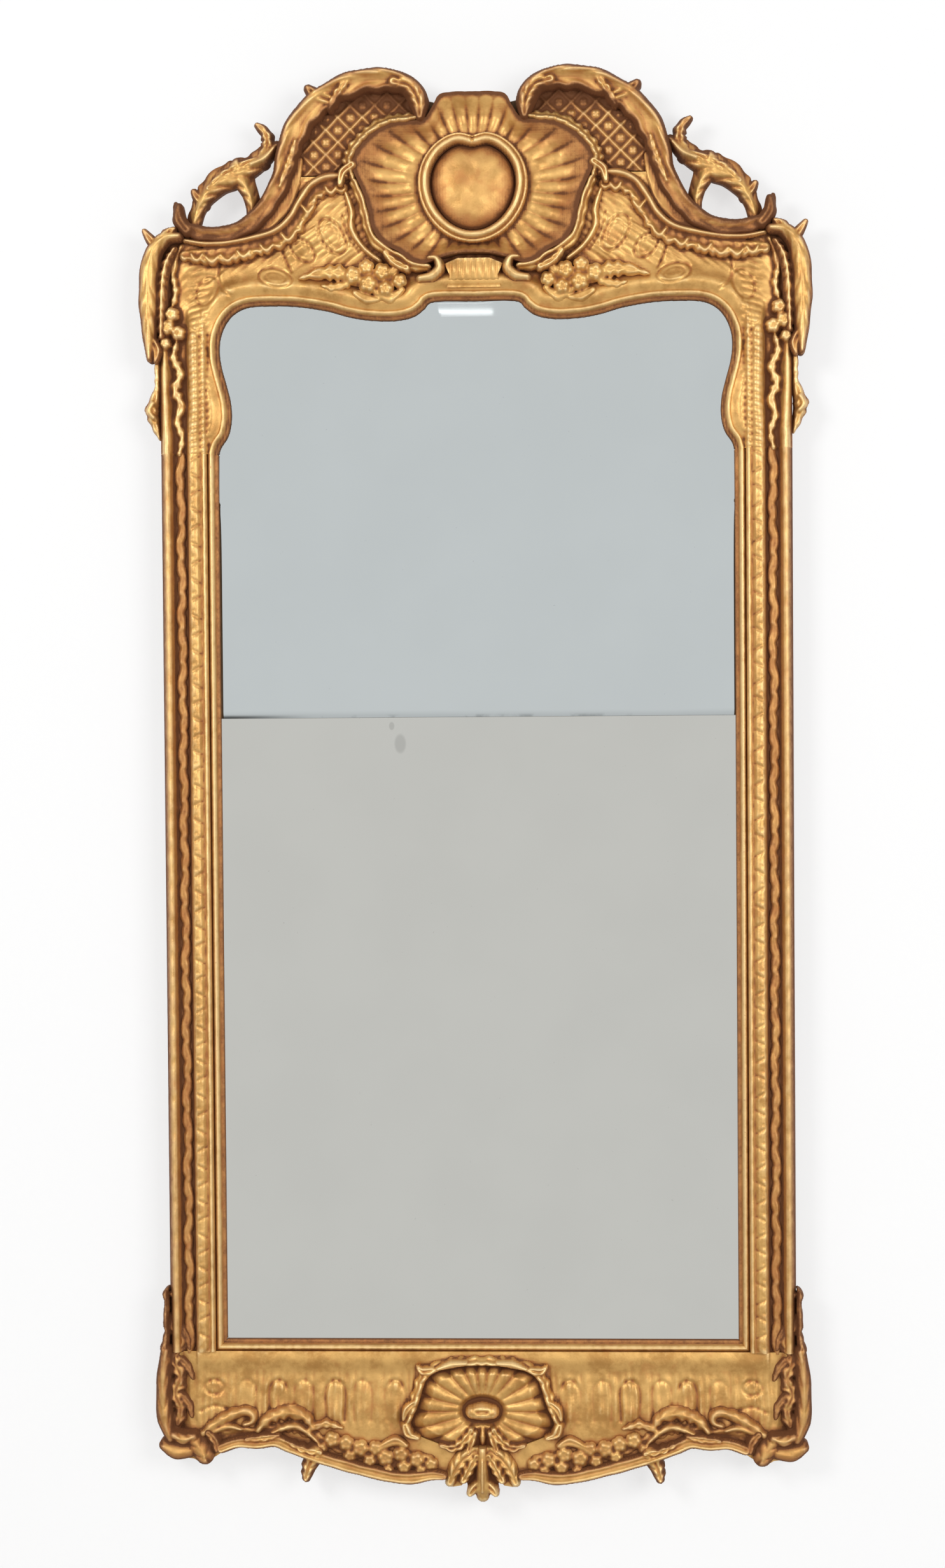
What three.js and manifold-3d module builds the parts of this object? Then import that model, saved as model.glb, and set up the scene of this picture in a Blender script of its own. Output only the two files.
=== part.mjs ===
// Tall carved and gilt pier mirror with two plates, for hanging on a wall.
// Millimetres, +Z up, front towards -Y, wall plane at y = 0.
// Depth is counted forwards from the wall, so a depth of 20 is y = -20.
// Left and right are as seen by someone who looks into the mirror.
// Heights are built above the tip of the pendant and shifted to the origin at the end.
import * as THREE from "three";
import { mergeVertices } from "three/addons/utils/BufferGeometryUtils.js";
import Module from "manifold-3d";

const wasm = await Module();
wasm.setup();

// Driving sizes
const SIGHT_WIDTH = 716; // clear width of the mirror between the slips
const SIGHT_HEIGHT = 1446; // bottom slip to the flat middle of the arched top
const LOWER_PLATE_HEIGHT = 871; // bottom slip to the joint of the two plates
const APRON_HEIGHT = 226; // pendant tip to the bottom slip
const SPRING_DROP = 207; // flat middle of the top to where the sides run straight
const STILE_WIDTH = 79.5; // sight edge to the outer side of the frame
const SLIP_WIDTH = 15; // fillet and bead round the glass
const FIT = 0.3; // air between faces that are glued or seated
const LAP = 6; // glass hidden behind the slips

// Depths, from the wall forwards
const CARCASS_DEPTH = 22; // pine stiles and rails
const PLATE_THICKNESS = 4;
const BACKBOARD_THICKNESS = 8;
const GROUND_THICKNESS = 13.7; // carved boards glued on the carcass
const SLIP_RISE = 14;
const MOULDING_RISE = 28;
const STRAND_RISE = 9;
const SCROLL_RISE = 28;
const RIM_RISE = 24;
const BRACKET_RISE = 28;
const BORDER_RISE = 14;
const FLOWER_RISE = 16;
const SHELL_FLOOR = 8; // wood left under the seat of the cartouche
const SHELL_LIP = 32; // height of the crest shell at its lip
const CARTOUCHE_RISE = 34;
const BOSS_RISE = 34;
const APRON_LIP = 27;
const KNOB_RISE = 30;
const PENDANT_RISE = 22;

// Crest, offsets from the flat middle of the sight top
const CREST_REACH = 262; // widest place of the crest scrolls, from the middle
const SHELL_CENTRE_Z = 155;
const CARTOUCHE_HALF_WIDTH = 67; // centre line of the moulded ring
const CARTOUCHE_HALF_HEIGHT = 69;
const CARTOUCHE_TUBE = 8.5; // half the width of the ring
const CARTOUCHE_NOTCH = 8; // dip in the middle of its top
const TRELLIS_FOOT = 173; // where the trellis panels meet the frieze
const SPLIT_INSET = 58; // joint of frieze and shoulder, from the sight edge
const SHELL_CROWN_HALF = 62; // half width of the flutes that stand on top of the shell
const SHELL_RIM_HALF = 8;
const BORDER_HALF = 10;
const STRAND_HALF = 7;
const STRAND_PITCH = 49;
const STRAND_SWAY = 1.2;
const GROOVE_MIDDLE = 52; // groove of the side moulding, from the sight edge

// Apron, offsets from the sight bottom
const APRON_SHELL_REACH = 115;
const APRON_KNOB_Z = -99;
const KNOB_HALF_WIDTH = 27;
const KNOB_HALF_HEIGHT = 15;
const APRON_RIM_HALF = 6;

// Facets of the small round pieces
const BUD_SIDES = 8;
const WIRE_SIDES = 8;
const PIN_SIDES = 12;
const KNUCKLE_SIDES = 16;

// Carcass
const CARCASS_INSET = 5.5; // stile edge behind the outer side of the frame
const STILE_FOOT = 84; // above the pendant tip
const STILE_HEAD = 94; // above the sight top
const RAIL_HEIGHT = 60; // cross rail behind the joint
const BACKBOARDS = 4;
const BACKBOARD_GAP = 0.4;

// Hangers on the back of the stiles
const HANGER_DROP = 112; // sight top down to the ring's bar
const STRAP_WIDTH = 28;
const STRAP_LENGTH = 74;
const STRAP_THICKNESS = 2;
const WIRE_RADIUS = 2;
const KNUCKLE_CLEARANCE = 0.4;
const KNUCKLE_WALL = 1.6;
const KNUCKLE_LENGTH = 16;
const RING_HALF = 15; // wire centre line
const RING_CORNER = 4;
const RING_SIDE = 8;
const SCREW_DROPS = [38, 62]; // below the ring's bar
const SCREW_SHANK = 1.5;
const SCREW_HEAD = 4;
const SCREW_HEAD_RISE = 1.6;
const SCREW_LENGTH = 15;
const SCREW_CLEARANCE = 0.4;

// Worked out from the sizes above
const SIGHT_HALF = SIGHT_WIDTH / 2;
const HALF_WIDTH = SIGHT_HALF + STILE_WIDTH;
const SIGHT_BOTTOM = APRON_HEIGHT;
const TOP = SIGHT_BOTTOM + SIGHT_HEIGHT;
const JOINT = SIGHT_BOTTOM + LOWER_PLATE_HEIGHT;
const SPRING = TOP - SPRING_DROP;
const FACE = CARCASS_DEPTH + FIT;
const GROUND = FACE + GROUND_THICKNESS;
const RELIEF = GROUND + FIT;
const GLASS_HALF = SIGHT_HALF + LAP;
const GLASS_TOP = TOP + LAP + 2;
const CARCASS_IN = GLASS_HALF + FIT;
const CARCASS_OUT = HALF_WIDTH - CARCASS_INSET;
const SPLIT = SIGHT_HALF - SPLIT_INSET;

const GILT = { color: 0xc89a55, roughness: 0.38, metalness: 0.85 };
const PINE = { color: 0x9a7148, roughness: 0.8, metalness: 0 };
const SILVERED = { color: 0xb9c0c0, roughness: 0.04, metalness: 1 };
const IRON = { color: 0x4a443e, roughness: 0.6, metalness: 0.8 };

const model = new THREE.Group();

// ---------------------------------------------------------------- shaping

const p2 = (x, z) => new THREE.Vector2(x, z);
const crest = (points) => points.map(([x, z]) => p2(x, TOP + z));
const apron = (points) => points.map(([x, z]) => p2(x, SIGHT_BOTTOM + z));
const inCrest = (t) => THREE.MathUtils.lerp(CREST_REACH, HALF_WIDTH, t);
const inApron = (t) => THREE.MathUtils.lerp(APRON_SHELL_REACH, HALF_WIDTH, t);
const smooth = (points, samples) => new THREE.SplineCurve(points).getPoints(samples);
const flipped = (points) => points.map((p) => p2(-p.x, p.y)).reverse();

/** Board with an outline parallel to the wall, between two depths. */
function board(outline, back, front) {
  const shape = new THREE.Shape(outline);
  const geometry = new THREE.ExtrudeGeometry(shape, { depth: front - back, bevelEnabled: false });
  geometry.rotateX(Math.PI / 2);
  geometry.translate(0, -back, 0);
  return geometry;
}

/** Plain board by its sides. */
function plank(left, right, low, high, back, front) {
  return board([p2(left, low), p2(right, low), p2(right, high), p2(left, high)], back, front);
}

/** Closed body through rings of points, capped at both ends or joined into a loop. */
function loft(rings, endless = false) {
  const count = rings[0].length;
  const points = rings.flat();
  const index = [];
  const spans = endless ? rings.length : rings.length - 1;
  for (let r = 0; r < spans; r++) {
    const here = r * count;
    const next = ((r + 1) % rings.length) * count;
    for (let k = 0; k < count; k++) {
      const l = (k + 1) % count;
      index.push(here + k, here + l, next + l, here + k, next + l, next + k);
    }
  }
  if (!endless) {
    capEnd(points, index, 0, count, true);
    capEnd(points, index, (rings.length - 1) * count, count, false);
  }
  const geometry = new THREE.BufferGeometry().setFromPoints(points);
  geometry.setIndex(index);
  return facingOut(geometry);
}

/** Fan of faces from a ring's centre. */
function capEnd(points, index, start, count, first) {
  const centre = new THREE.Vector3();
  for (let k = 0; k < count; k++) {
    centre.addScaledVector(points[start + k], 1 / count);
  }
  points.push(centre);
  for (let k = 0; k < count; k++) {
    const a = start + k;
    const b = start + ((k + 1) % count);
    index.push(...(first ? [points.length - 1, b, a] : [points.length - 1, a, b]));
  }
}

/** Same body with its faces turned outwards. */
function facingOut(geometry) {
  const at = geometry.getAttribute("position");
  const corner = (k) => new THREE.Vector3().fromBufferAttribute(at, geometry.index.getX(k));
  let volume = 0;
  for (let k = 0; k < geometry.index.count; k += 3) {
    volume += corner(k).dot(corner(k + 1).cross(corner(k + 2)));
  }
  return volume < 0 ? turned(geometry) : geometry;
}

/** Faces wound the other way. */
function turned(geometry) {
  const index = Array.from(geometry.index.array);
  for (let k = 0; k < index.length; k += 3) {
    [index[k], index[k + 1]] = [index[k + 1], index[k]];
  }
  geometry.setIndex(index);
  return geometry;
}

/** Closed body with shared vertices, as the cutting library takes it. */
function solid(geometry) {
  const bare = geometry.clone();
  bare.deleteAttribute("normal");
  bare.deleteAttribute("uv");
  const merged = mergeVertices(bare, 1e-4);
  const vertProperties = Float32Array.from(merged.getAttribute("position").array);
  const triVerts = Uint32Array.from(merged.index.array);
  return new wasm.Manifold(new wasm.Mesh({ numProp: 3, vertProperties, triVerts }));
}

function surface(body) {
  const mesh = body.getMesh();
  const geometry = new THREE.BufferGeometry();
  geometry.setAttribute("position", new THREE.BufferAttribute(mesh.vertProperties, 3));
  geometry.setIndex(Array.from(mesh.triVerts));
  return geometry;
}

const join = (...parts) => surface(parts.map(solid).reduce((a, b) => a.add(b)));
const cut = (part, ...tools) => surface(tools.map(solid).reduce((a, b) => a.subtract(b), solid(part)));

/** The same piece on the other side of the centre line. */
function mirrored(geometry) {
  const other = mergeVertices(geometry.clone());
  other.scale(-1, 1, 1);
  return turned(other);
}

// Sections of carved mouldings: across from -1 to 1, and how far they rise from 0 to 1.
const CUSHION = [[-1, 0], [-0.9, 0.55], [-0.45, 0.92], [0, 1], [0.45, 0.92], [0.9, 0.55], [1, 0]];
const CHANNEL = [[-1, 0], [-1, 0.75], [-0.72, 1], [-0.25, 0.62], [0.3, 0.62], [0.75, 1], [1, 0.7], [1, 0]];
const LEAF = [[-1, 0], [-0.55, 0.6], [0, 1], [0.55, 0.6], [1, 0]];
const RIDGE = [[-1, 0], [-0.2, 1], [0.2, 1], [1, 0]];

/** Carved moulding along a path; widths are halves, and both follow the path's points. */
function carved(path, { widths, rises = [1], rise, back = RELIEF, section = CUSHION, steps = 24 }) {
  const curve = new THREE.SplineCurve(path);
  const value = (list, t) => {
    const place = t * (list.length - 1);
    const k = Math.min(Math.floor(place), list.length - 2);
    return list.length === 1 ? list[0] : THREE.MathUtils.lerp(list[k], list[k + 1], place - k);
  };
  const rings = [];
  for (let k = 0; k <= steps; k++) {
    const t = k / steps;
    const centre = curve.getPoint(t);
    const along = curve.getTangent(t);
    const half = value(widths, t);
    const height = rise * value(rises, t);
    const point = ([u, r]) =>
      new THREE.Vector3(centre.x - along.y * half * u, -(back + r * height), centre.y + along.x * half * u);
    rings.push(section.map(point));
  }
  return loft(rings);
}

/** Points moved sideways by a distance, to the left of the way they run. */
function offset(points, distance) {
  return points.map((p, k) => {
    const before = points[Math.max(k - 1, 0)];
    const after = points[Math.min(k + 1, points.length - 1)];
    const along = after.clone().sub(before).normalize();
    return p2(p.x - along.y * distance, p.y + along.x * distance);
  });
}

/** Hole through the ground boards for a shell, from the right half of its outline. */
function roomFor(half) {
  const line = offset(half, 2 * FIT);
  line[0].x = 0;
  line[line.length - 1].x = 0;
  return board([...line, ...flipped(line).slice(1, -1)], FACE - 1, GROUND + 1);
}

function add(name, geometry, finish) {
  const mesh = new THREE.Mesh(geometry, new THREE.MeshStandardMaterial(finish));
  mesh.name = name;
  model.add(mesh);
}

/** A right-hand piece and its mirror image on the left. */
function addPair(name, geometry, finish) {
  add(`${name}_right`, geometry, finish);
  add(`${name}_left`, mirrored(geometry), finish);
}

// ---------------------------------------------------------------- sight opening

/** Right half of the sight edge, from the middle of the top to where it runs straight. */
const sightHalf = smooth(
  [
    ...crest([[0, 1], [56, 1], [70, -9], [82, -18], [98, -23], [120, -25], [150, -23], [177, -18]]),
    ...crest([[205, -10], [250, -3]]),
    ...crest([[SPLIT, -2], [SIGHT_HALF - 32, -7], [SIGHT_HALF - 14, -22], [SIGHT_HALF - 4, -44]]),
    ...crest([[SIGHT_HALF - 2, -66], [SIGHT_HALF - 5, -88], [SIGHT_HALF - 12, -114]]),
    ...crest([[SIGHT_HALF - 17, -136], [SIGHT_HALF - 18, -160], [SIGHT_HALF - 13, -182]]),
    p2(SIGHT_HALF - 3, SPRING + 10),
    p2(SIGHT_HALF, SPRING),
  ],
  28,
);

/** Whole sight edge over the top, from left to right, moved outwards by a distance. */
function sightEdge(distance) {
  const half = offset(sightHalf, distance);
  half[0].x = 0;
  half[half.length - 1].set(SIGHT_HALF + distance, SPRING);
  return [...flipped(half).slice(0, -1), ...half];
}

// ---------------------------------------------------------------- carcass and back

const railHigh = SIGHT_BOTTOM - LAP - FIT;
const hangerX = (CARCASS_IN + CARCASS_OUT) / 2;
const hangerZ = TOP - HANGER_DROP;

/** Round bar along Y, between two depths. */
function pin(x, z, radius, back, front) {
  const geometry = new THREE.CylinderGeometry(radius, radius, front - back, PIN_SIDES);
  geometry.translate(x, -(back + front) / 2, z);
  return geometry;
}

function carcassStile() {
  const stile = plank(CARCASS_IN, CARCASS_OUT, STILE_FOOT, TOP + STILE_HEAD, 0, CARCASS_DEPTH);
  const hole = (drop) => pin(hangerX, hangerZ - drop, SCREW_SHANK + SCREW_CLEARANCE, -1, SCREW_LENGTH + 1);
  return cut(stile, ...SCREW_DROPS.map(hole));
}

addPair("carcass_stile", carcassStile(), PINE);
add("carcass_bottom_rail", plank(-GLASS_HALF, GLASS_HALF, STILE_FOOT, railHigh, 0, CARCASS_DEPTH), PINE);
const boardsFront = CARCASS_DEPTH - PLATE_THICKNESS - FIT;
const boardsBack = boardsFront - BACKBOARD_THICKNESS;
add(
  "carcass_cross_rail",
  plank(-GLASS_HALF, GLASS_HALF, JOINT - RAIL_HEIGHT / 2, JOINT + RAIL_HEIGHT / 2, 0, boardsBack - FIT),
  PINE,
);

const boardsLow = railHigh + FIT;
const boardPitch = (GLASS_TOP - boardsLow + BACKBOARD_GAP) / BACKBOARDS;
for (let k = 0; k < BACKBOARDS; k++) {
  const low = boardsLow + k * boardPitch;
  const high = low + boardPitch - BACKBOARD_GAP;
  add(`backboard_${k + 1}`, plank(-GLASS_HALF, GLASS_HALF, low, high, boardsBack, boardsFront), PINE);
}

// ---------------------------------------------------------------- mirror plates

const plateBack = CARCASS_DEPTH - PLATE_THICKNESS;
add(
  "mirror_plate_lower",
  plank(-GLASS_HALF, GLASS_HALF, SIGHT_BOTTOM - LAP, JOINT - FIT / 2, plateBack, CARCASS_DEPTH),
  SILVERED,
);
const upperOutline = [
  p2(GLASS_HALF, JOINT + FIT / 2),
  p2(-GLASS_HALF, JOINT + FIT / 2),
  ...sightEdge(LAP),
];
add("mirror_plate_upper", board(upperOutline, plateBack, CARCASS_DEPTH), SILVERED);

// ---------------------------------------------------------------- slips round the glass

// Section of a slip: outwards from the sight edge, and forwards from the glass.
const SLIP_SECTION = [[0, 0], [0, 0.3], [0.42, 0.7], [0.7, 1], [1, 0.7], [1, 0]];

// Room that the frame leaves for the slip, in the same measure.
const SLIP_ROOM = [[-0.6, -0.2], [-0.6, 3], [1 + FIT / SLIP_WIDTH, 3], [1 + FIT / SLIP_WIDTH, -0.2]];

/** Slip along a row of points, with the frame on its left. */
function slip(points, section = SLIP_SECTION) {
  const rings = points.map((p, k) => {
    const before = points[Math.max(k - 1, 0)];
    const after = points[Math.min(k + 1, points.length - 1)];
    const along = after.clone().sub(before).normalize();
    const straight = (k === 0 || k === points.length - 1) && points.length > 2;
    if (straight) {
      along.set(0, k === 0 ? 1 : -1);
    }
    const place = ([out, up]) =>
      new THREE.Vector3(
        p.x - along.y * out * SLIP_WIDTH,
        -(FACE + up * SLIP_RISE),
        p.y + along.x * out * SLIP_WIDTH,
      );
    return section.map(place);
  });
  return loft(rings);
}

const slipFoot = SIGHT_BOTTOM - SLIP_WIDTH;
const topSlipRoom = slip(sightEdge(0), SLIP_ROOM);
add("sight_slip_top", slip(sightEdge(0)), GILT);
addPair("sight_slip", slip([p2(SIGHT_HALF, SPRING - FIT), p2(SIGHT_HALF, slipFoot)]), GILT);
const slipEnd = SIGHT_HALF - FIT;
add("sight_slip_bottom", slip([p2(slipEnd, SIGHT_BOTTOM), p2(-slipEnd, SIGHT_BOTTOM)]), GILT);

// ---------------------------------------------------------------- side mouldings

// Section outside the slip: outwards from the sight edge in mm, and the share of the rise.
const SIDE_SECTION = [
  [SLIP_WIDTH + FIT, 0],
  [SLIP_WIDTH + FIT, 0.55],
  [22, 0.78],
  [31, 0.9],
  [38, 0.84],
  [42, 0.62],
  [44, 0.36],
  [60, 0.36],
  [63, 0.7],
  [67, 0.94],
  [71, 1],
  [75, 0.95],
  [STILE_WIDTH - 1, 0.75],
  [STILE_WIDTH, 0.5],
  [STILE_WIDTH, 0],
];

const GROOVE_FLOOR = FACE + 0.36 * MOULDING_RISE;
const mouldingFoot = slipFoot;
const mouldingHead = SPRING - FIT;

function sideMoulding() {
  const section = SIDE_SECTION.map(([out, up]) => p2(SIGHT_HALF + out, -(FACE + up * MOULDING_RISE)));
  const geometry = new THREE.ExtrudeGeometry(new THREE.Shape(section), {
    depth: mouldingHead - mouldingFoot,
    bevelEnabled: false,
  });
  geometry.translate(0, 0, mouldingFoot);
  return geometry;
}

/** Leafy strand in the groove: one swelling to a pitch, swaying from side to side. */
function strand() {
  const length = mouldingHead - mouldingFoot - 2 * FIT;
  const turns = Math.round(length / STRAND_PITCH);
  const stepsEach = 2;
  const points = [];
  for (let k = 0; k <= turns * stepsEach; k++) {
    const phase = (k / stepsEach) * 2 * Math.PI;
    const sway = STRAND_SWAY * Math.sin(phase / 2);
    const half = STRAND_HALF * (0.6 - 0.3 * Math.cos(phase));
    const z = mouldingFoot + FIT + (length * k) / (turns * stepsEach);
    points.push({ x: SIGHT_HALF + GROOVE_MIDDLE + sway, half, z });
  }
  const ring = ({ x, half, z }) =>
    RIDGE.map(([u, r]) => new THREE.Vector3(x + u * half, -(GROOVE_FLOOR + FIT + r * STRAND_RISE), z));
  return loft(points.map(ring));
}

addPair("side_moulding", sideMoulding(), GILT);
addPair("stile_strand", strand(), GILT);

// ---------------------------------------------------------------- crest

/** Centre line of a crest scroll: curl by the shell, over the crest, out along the shoulder. */
const scrollPath = [
  ...crest([[72, 262], [71, 276], [80, 290], [102, 304], [132, 308], [166, 301], [198, 284]]),
  ...crest([[224, 262], [243, 236], [254, 208], [CREST_REACH, 176]]),
  ...crest([[inCrest(0.08), 146], [inCrest(0.2), 118], [inCrest(0.36), 99], [inCrest(0.52), 94]]),
  ...crest([[inCrest(0.68), 97], [inCrest(0.79), 107], [inCrest(0.845), 122], [inCrest(0.855), 138]]),
];
const scrollLine = smooth(scrollPath, 64);

function crestScroll() {
  const widths = [5, 8, 10, 13, 15, 16, 16, 17, 17, 15, 12, 11, 11, 11, 10, 10, 7, 5, 2];
  const rises = [0.6, 0.8, 0.9, 1, 1, 1, 1, 1, 1, 0.95, 0.85, 0.8, 0.75, 0.7, 0.65, 0.6, 0.6, 0.5, 0.4];
  return carved(scrollPath, { widths, rises, rise: SCROLL_RISE, section: CHANNEL, steps: 36 });
}

/** Right half of the crest shell's outline, from the top to the bottom. */
const shellHalf = smooth(
  crest([
    [0, 284], [28, 284], [46, 280], [55, 264], [66, 249], [86, 245], [106, 244], [123, 239],
    [141, 228], [158, 211], [167, 193], [164, 176], [153, 152], [145, 126], [141, 104],
    [134, 89], [123, 77], [102, 66], [86, 54], [68, 50], [46, 58], [22, 64], [0, 65],
  ]),
  32,
);
const shellLoop = [...shellHalf, ...flipped(shellHalf).slice(1, -1)];
const shellRoom = roomFor(shellHalf);
const shellCentre = p2(0, TOP + SHELL_CENTRE_Z);

/** Closed heart-shaped line of the cartouche, scaled about its centre. */
function cartoucheLine(count, scale) {
  const points = [];
  for (let k = 0; k < count; k++) {
    const a = Math.PI / 2 - (k / count) * 2 * Math.PI;
    const x = CARTOUCHE_HALF_WIDTH * Math.cos(a) * (1 + 0.07 * Math.sin(a));
    const dip = Math.sin(a) > 0 ? CARTOUCHE_NOTCH * Math.exp(-((x / 15) ** 2)) : 0;
    points.push(p2(x * scale, shellCentre.y + (CARTOUCHE_HALF_HEIGHT * Math.sin(a) - dip) * scale));
  }
  return points;
}

const raised = (points, depth) => points.map((p) => new THREE.Vector3(p.x, -depth, p.y));

/** Hollow shell: its lip stands up inside the rim and its floor is the cartouche's seat. */
function crestShell() {
  const seatScale = 1 + (CARTOUCHE_TUBE + 3) / CARTOUCHE_HALF_WIDTH;
  const seat = shellLoop.map((p) => {
    const way = p.clone().sub(shellCentre).normalize();
    return shellCentre.clone().add(
      p2(way.x * CARTOUCHE_HALF_WIDTH * seatScale, way.y * CARTOUCHE_HALF_HEIGHT * seatScale),
    );
  });
  const towards = (share) => shellLoop.map((p, k) => p.clone().lerp(seat[k], share));
  const fluted = (points, depth, flute) =>
    points.map((p, k) => new THREE.Vector3(p.x, -(depth + (k % 2 ? flute : -flute)), p.y));
  const floor = FACE + SHELL_FLOOR;
  return loft([
    raised(shellLoop, FACE),
    raised(shellLoop, FACE + SHELL_LIP - 3),
    fluted(towards(0.08), FACE + SHELL_LIP - 2, 1.5),
    fluted(towards(0.45), floor + 8, 2.5),
    fluted(towards(0.8), floor + 2.5, 1.5),
    raised(seat, floor),
  ]);
}

/** Moulded ring of the cartouche. */
function cartoucheFrame() {
  const back = FACE + SHELL_FLOOR + FIT;
  const count = 32;
  const inner = cartoucheLine(count, 1 - CARTOUCHE_TUBE / CARTOUCHE_HALF_WIDTH);
  const outer = cartoucheLine(count, 1 + CARTOUCHE_TUBE / CARTOUCHE_HALF_WIDTH);
  const profile = [[0, 0], [0, 0.7], [0.2, 0.95], [0.5, 1], [0.8, 0.85], [1, 0.55], [1, 0]];
  const rings = inner.map((p, k) => {
    const place = ([u, r]) => {
      const q = p.clone().lerp(outer[k], u);
      return new THREE.Vector3(q.x, -(back + r * CARTOUCHE_RISE), q.y);
    };
    return profile.map(place);
  });
  return loft(rings, true);
}

/** Plain domed boss inside the ring. */
function cartoucheBoss() {
  const back = FACE + SHELL_FLOOR + FIT;
  const edge = 1 - (CARTOUCHE_TUBE + FIT * 2) / CARTOUCHE_HALF_WIDTH;
  const level = (shrink, up) => raised(cartoucheLine(28, edge * shrink), back + up * BOSS_RISE);
  return loft([level(1, 0), level(1, 0.3), level(0.9, 0.65), level(0.55, 0.93)]);
}

/** Ruffled rim on the ground boards, just outside the shell. */
function shellRim() {
  const [first, last] = [8, 28];
  const line = offset(shellHalf, SHELL_RIM_HALF + 2 * FIT).slice(first, last);
  const widths = line.map((_, k) => SHELL_RIM_HALF * (k % 3 === 1 ? 1 : 0.82));
  widths[0] *= 0.6;
  widths[line.length - 1] *= 0.6;
  return carved(line, { widths, rise: RIM_RISE, steps: line.length - 1 });
}

/** Fluted tongue between the shell and the slip. */
function shellFoot() {
  const low = TOP + 1 + SLIP_WIDTH + 2;
  const high = TOP + 57;
  return board(
    [p2(-38, low), p2(38, low), p2(33, low + 18), p2(40, high - 6), p2(20, high), p2(-20, high),
      p2(-40, high - 6), p2(-33, low + 18)],
    RELIEF,
    RELIEF + BORDER_RISE * 0.7,
  );
}

/** Ground board between the slip and the shell, out to the shoulders. */
function friezeTop() {
  const trellisFoot = TOP + TRELLIS_FOOT;
  const lower = sightEdge(SLIP_WIDTH / 2).filter((p) => p.x >= 0 && p.x <= SPLIT);
  const outer = scrollLine.filter((p) => p.x >= SPLIT ? false : p.y < trellisFoot);
  const shellSide = shellHalf.filter((p) => p.y < trellisFoot - 2);
  const splitTop = scrollLine.find((p) => p.x > SPLIT && p.y < trellisFoot);
  const right = [
    ...lower.slice(0, -1),
    p2(SPLIT, lower[lower.length - 1].y),
    p2(SPLIT, splitTop.y),
    ...outer.filter((p) => p.y > splitTop.y).reverse(),
    p2(CREST_REACH, trellisFoot),
    p2(shellSide[0].x, trellisFoot),
    ...shellSide,
  ];
  return cut(board([...right, ...flipped(right).slice(1, -1)], FACE, GROUND), topSlipRoom, shellRoom);
}

/** Sunk panel between the scroll and the shell. */
function trellisPanel() {
  const foot = TOP + TRELLIS_FOOT + FIT;
  const outer = scrollLine.filter((p) => p.x < CREST_REACH && p.y > foot);
  const inner = shellHalf.filter((p) => p.y > foot && p.x > SHELL_CROWN_HALF);
  const outline = [...outer, p2(CREST_REACH, foot), p2(inner[inner.length - 1].x, foot)];
  return cut(board([...outline, ...inner.reverse()], FACE, GROUND), shellRoom);
}

/** Ground board of a shoulder, from the springing of the arch to the scroll. */
function shoulderBlock() {
  const inner = sightEdge(SLIP_WIDTH / 2).filter((p) => p.x > SPLIT + 1);
  const upper = scrollLine.filter((p) => p.x > SPLIT + 1 && p.x < inCrest(0.68));
  const block = board(
    [
      p2(SPLIT + FIT, inner[0].y),
      ...inner.slice(1),
      p2(HALF_WIDTH, SPRING),
      ...crest([[HALF_WIDTH, -76], [HALF_WIDTH + 8, -66], [HALF_WIDTH + 17, -36]]),
      ...crest([[HALF_WIDTH + 21, 14], [HALF_WIDTH + 15, 66], [HALF_WIDTH + 6, 86]]),
      ...crest([[HALF_WIDTH - 18, 94]]),
      ...upper.reverse(),
      p2(SPLIT + FIT, upper[upper.length - 1].y + 1),
    ],
    FACE,
    GROUND,
  );
  return cut(block, topSlipRoom);
}

/** Openwork bracket on the shoulder; its ends pass under the crest scroll. */
function piercedBracket() {
  const arc = carved(
    crest([
      [inCrest(0.72), 112], [inCrest(0.68), 132], [inCrest(0.61), 154], [inCrest(0.52), 169],
      [inCrest(0.42), 177], [inCrest(0.32), 183], [inCrest(0.23), 193], [inCrest(0.15), 208],
      [inCrest(0.06), 216],
    ]),
    {
      widths: [7, 10, 11, 11, 12, 12, 11, 9, 6],
      rises: [0.48, 0.6, 1, 1, 1, 1, 0.8, 0.48, 0.48],
      rise: BRACKET_RISE, back: FACE, section: CHANNEL, steps: 20,
    },
  );
  const curl = carved(
    crest([
      [inCrest(0.34), 178], [inCrest(0.29), 162], [inCrest(0.26), 142],
      [inCrest(0.265), 128], [inCrest(0.29), 117],
    ]),
    {
      widths: [11, 9, 7, 6, 7],
      rises: [0.9, 0.9, 0.7, 0.48, 0.48],
      rise: BRACKET_RISE, back: FACE, steps: 9,
    },
  );
  const tip = carved(
    crest([[inCrest(0.15), 206], [inCrest(0.12), 228], [inCrest(0.19), 246]]),
    { widths: [8, 7, 3], rises: [0.7, 0.6, 0.5], rise: BRACKET_RISE, back: FACE, section: LEAF, steps: 6 },
  );
  return join(arc, curl, tip);
}

/** Ruffled border between the frieze and the scroll. */
function rocailleBorder() {
  const path = crest([
    [184, 163], [204, 161], [224, 150], [236, 131], [248, 108], [268, 88], [inCrest(0.23), 82],
    [inCrest(0.36), 73], [inCrest(0.5), 70], [inCrest(0.64), 69], [inCrest(0.78), 69],
  ]);
  const line = smooth(path, 27);
  const widths = line.map((_, k) => BORDER_HALF * (k % 3 === 1 ? 1 : 0.75));
  return carved(line, { widths, rise: BORDER_RISE, section: LEAF, steps: line.length - 1 });
}

/** Round bud or berry on a board. */
function bud(x, z, radius, back, rise) {
  const level = (share, up) => {
    const ring = [];
    for (let k = 0; k < BUD_SIDES; k++) {
      const a = (k / BUD_SIDES) * 2 * Math.PI;
      ring.push(new THREE.Vector3(x + radius * share * Math.cos(a), -(back + up * rise),
        z + radius * share * Math.sin(a)));
    }
    return ring;
  };
  return loft([level(1, 0), level(0.95, 0.45), level(0.5, 1)]);
}

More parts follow.
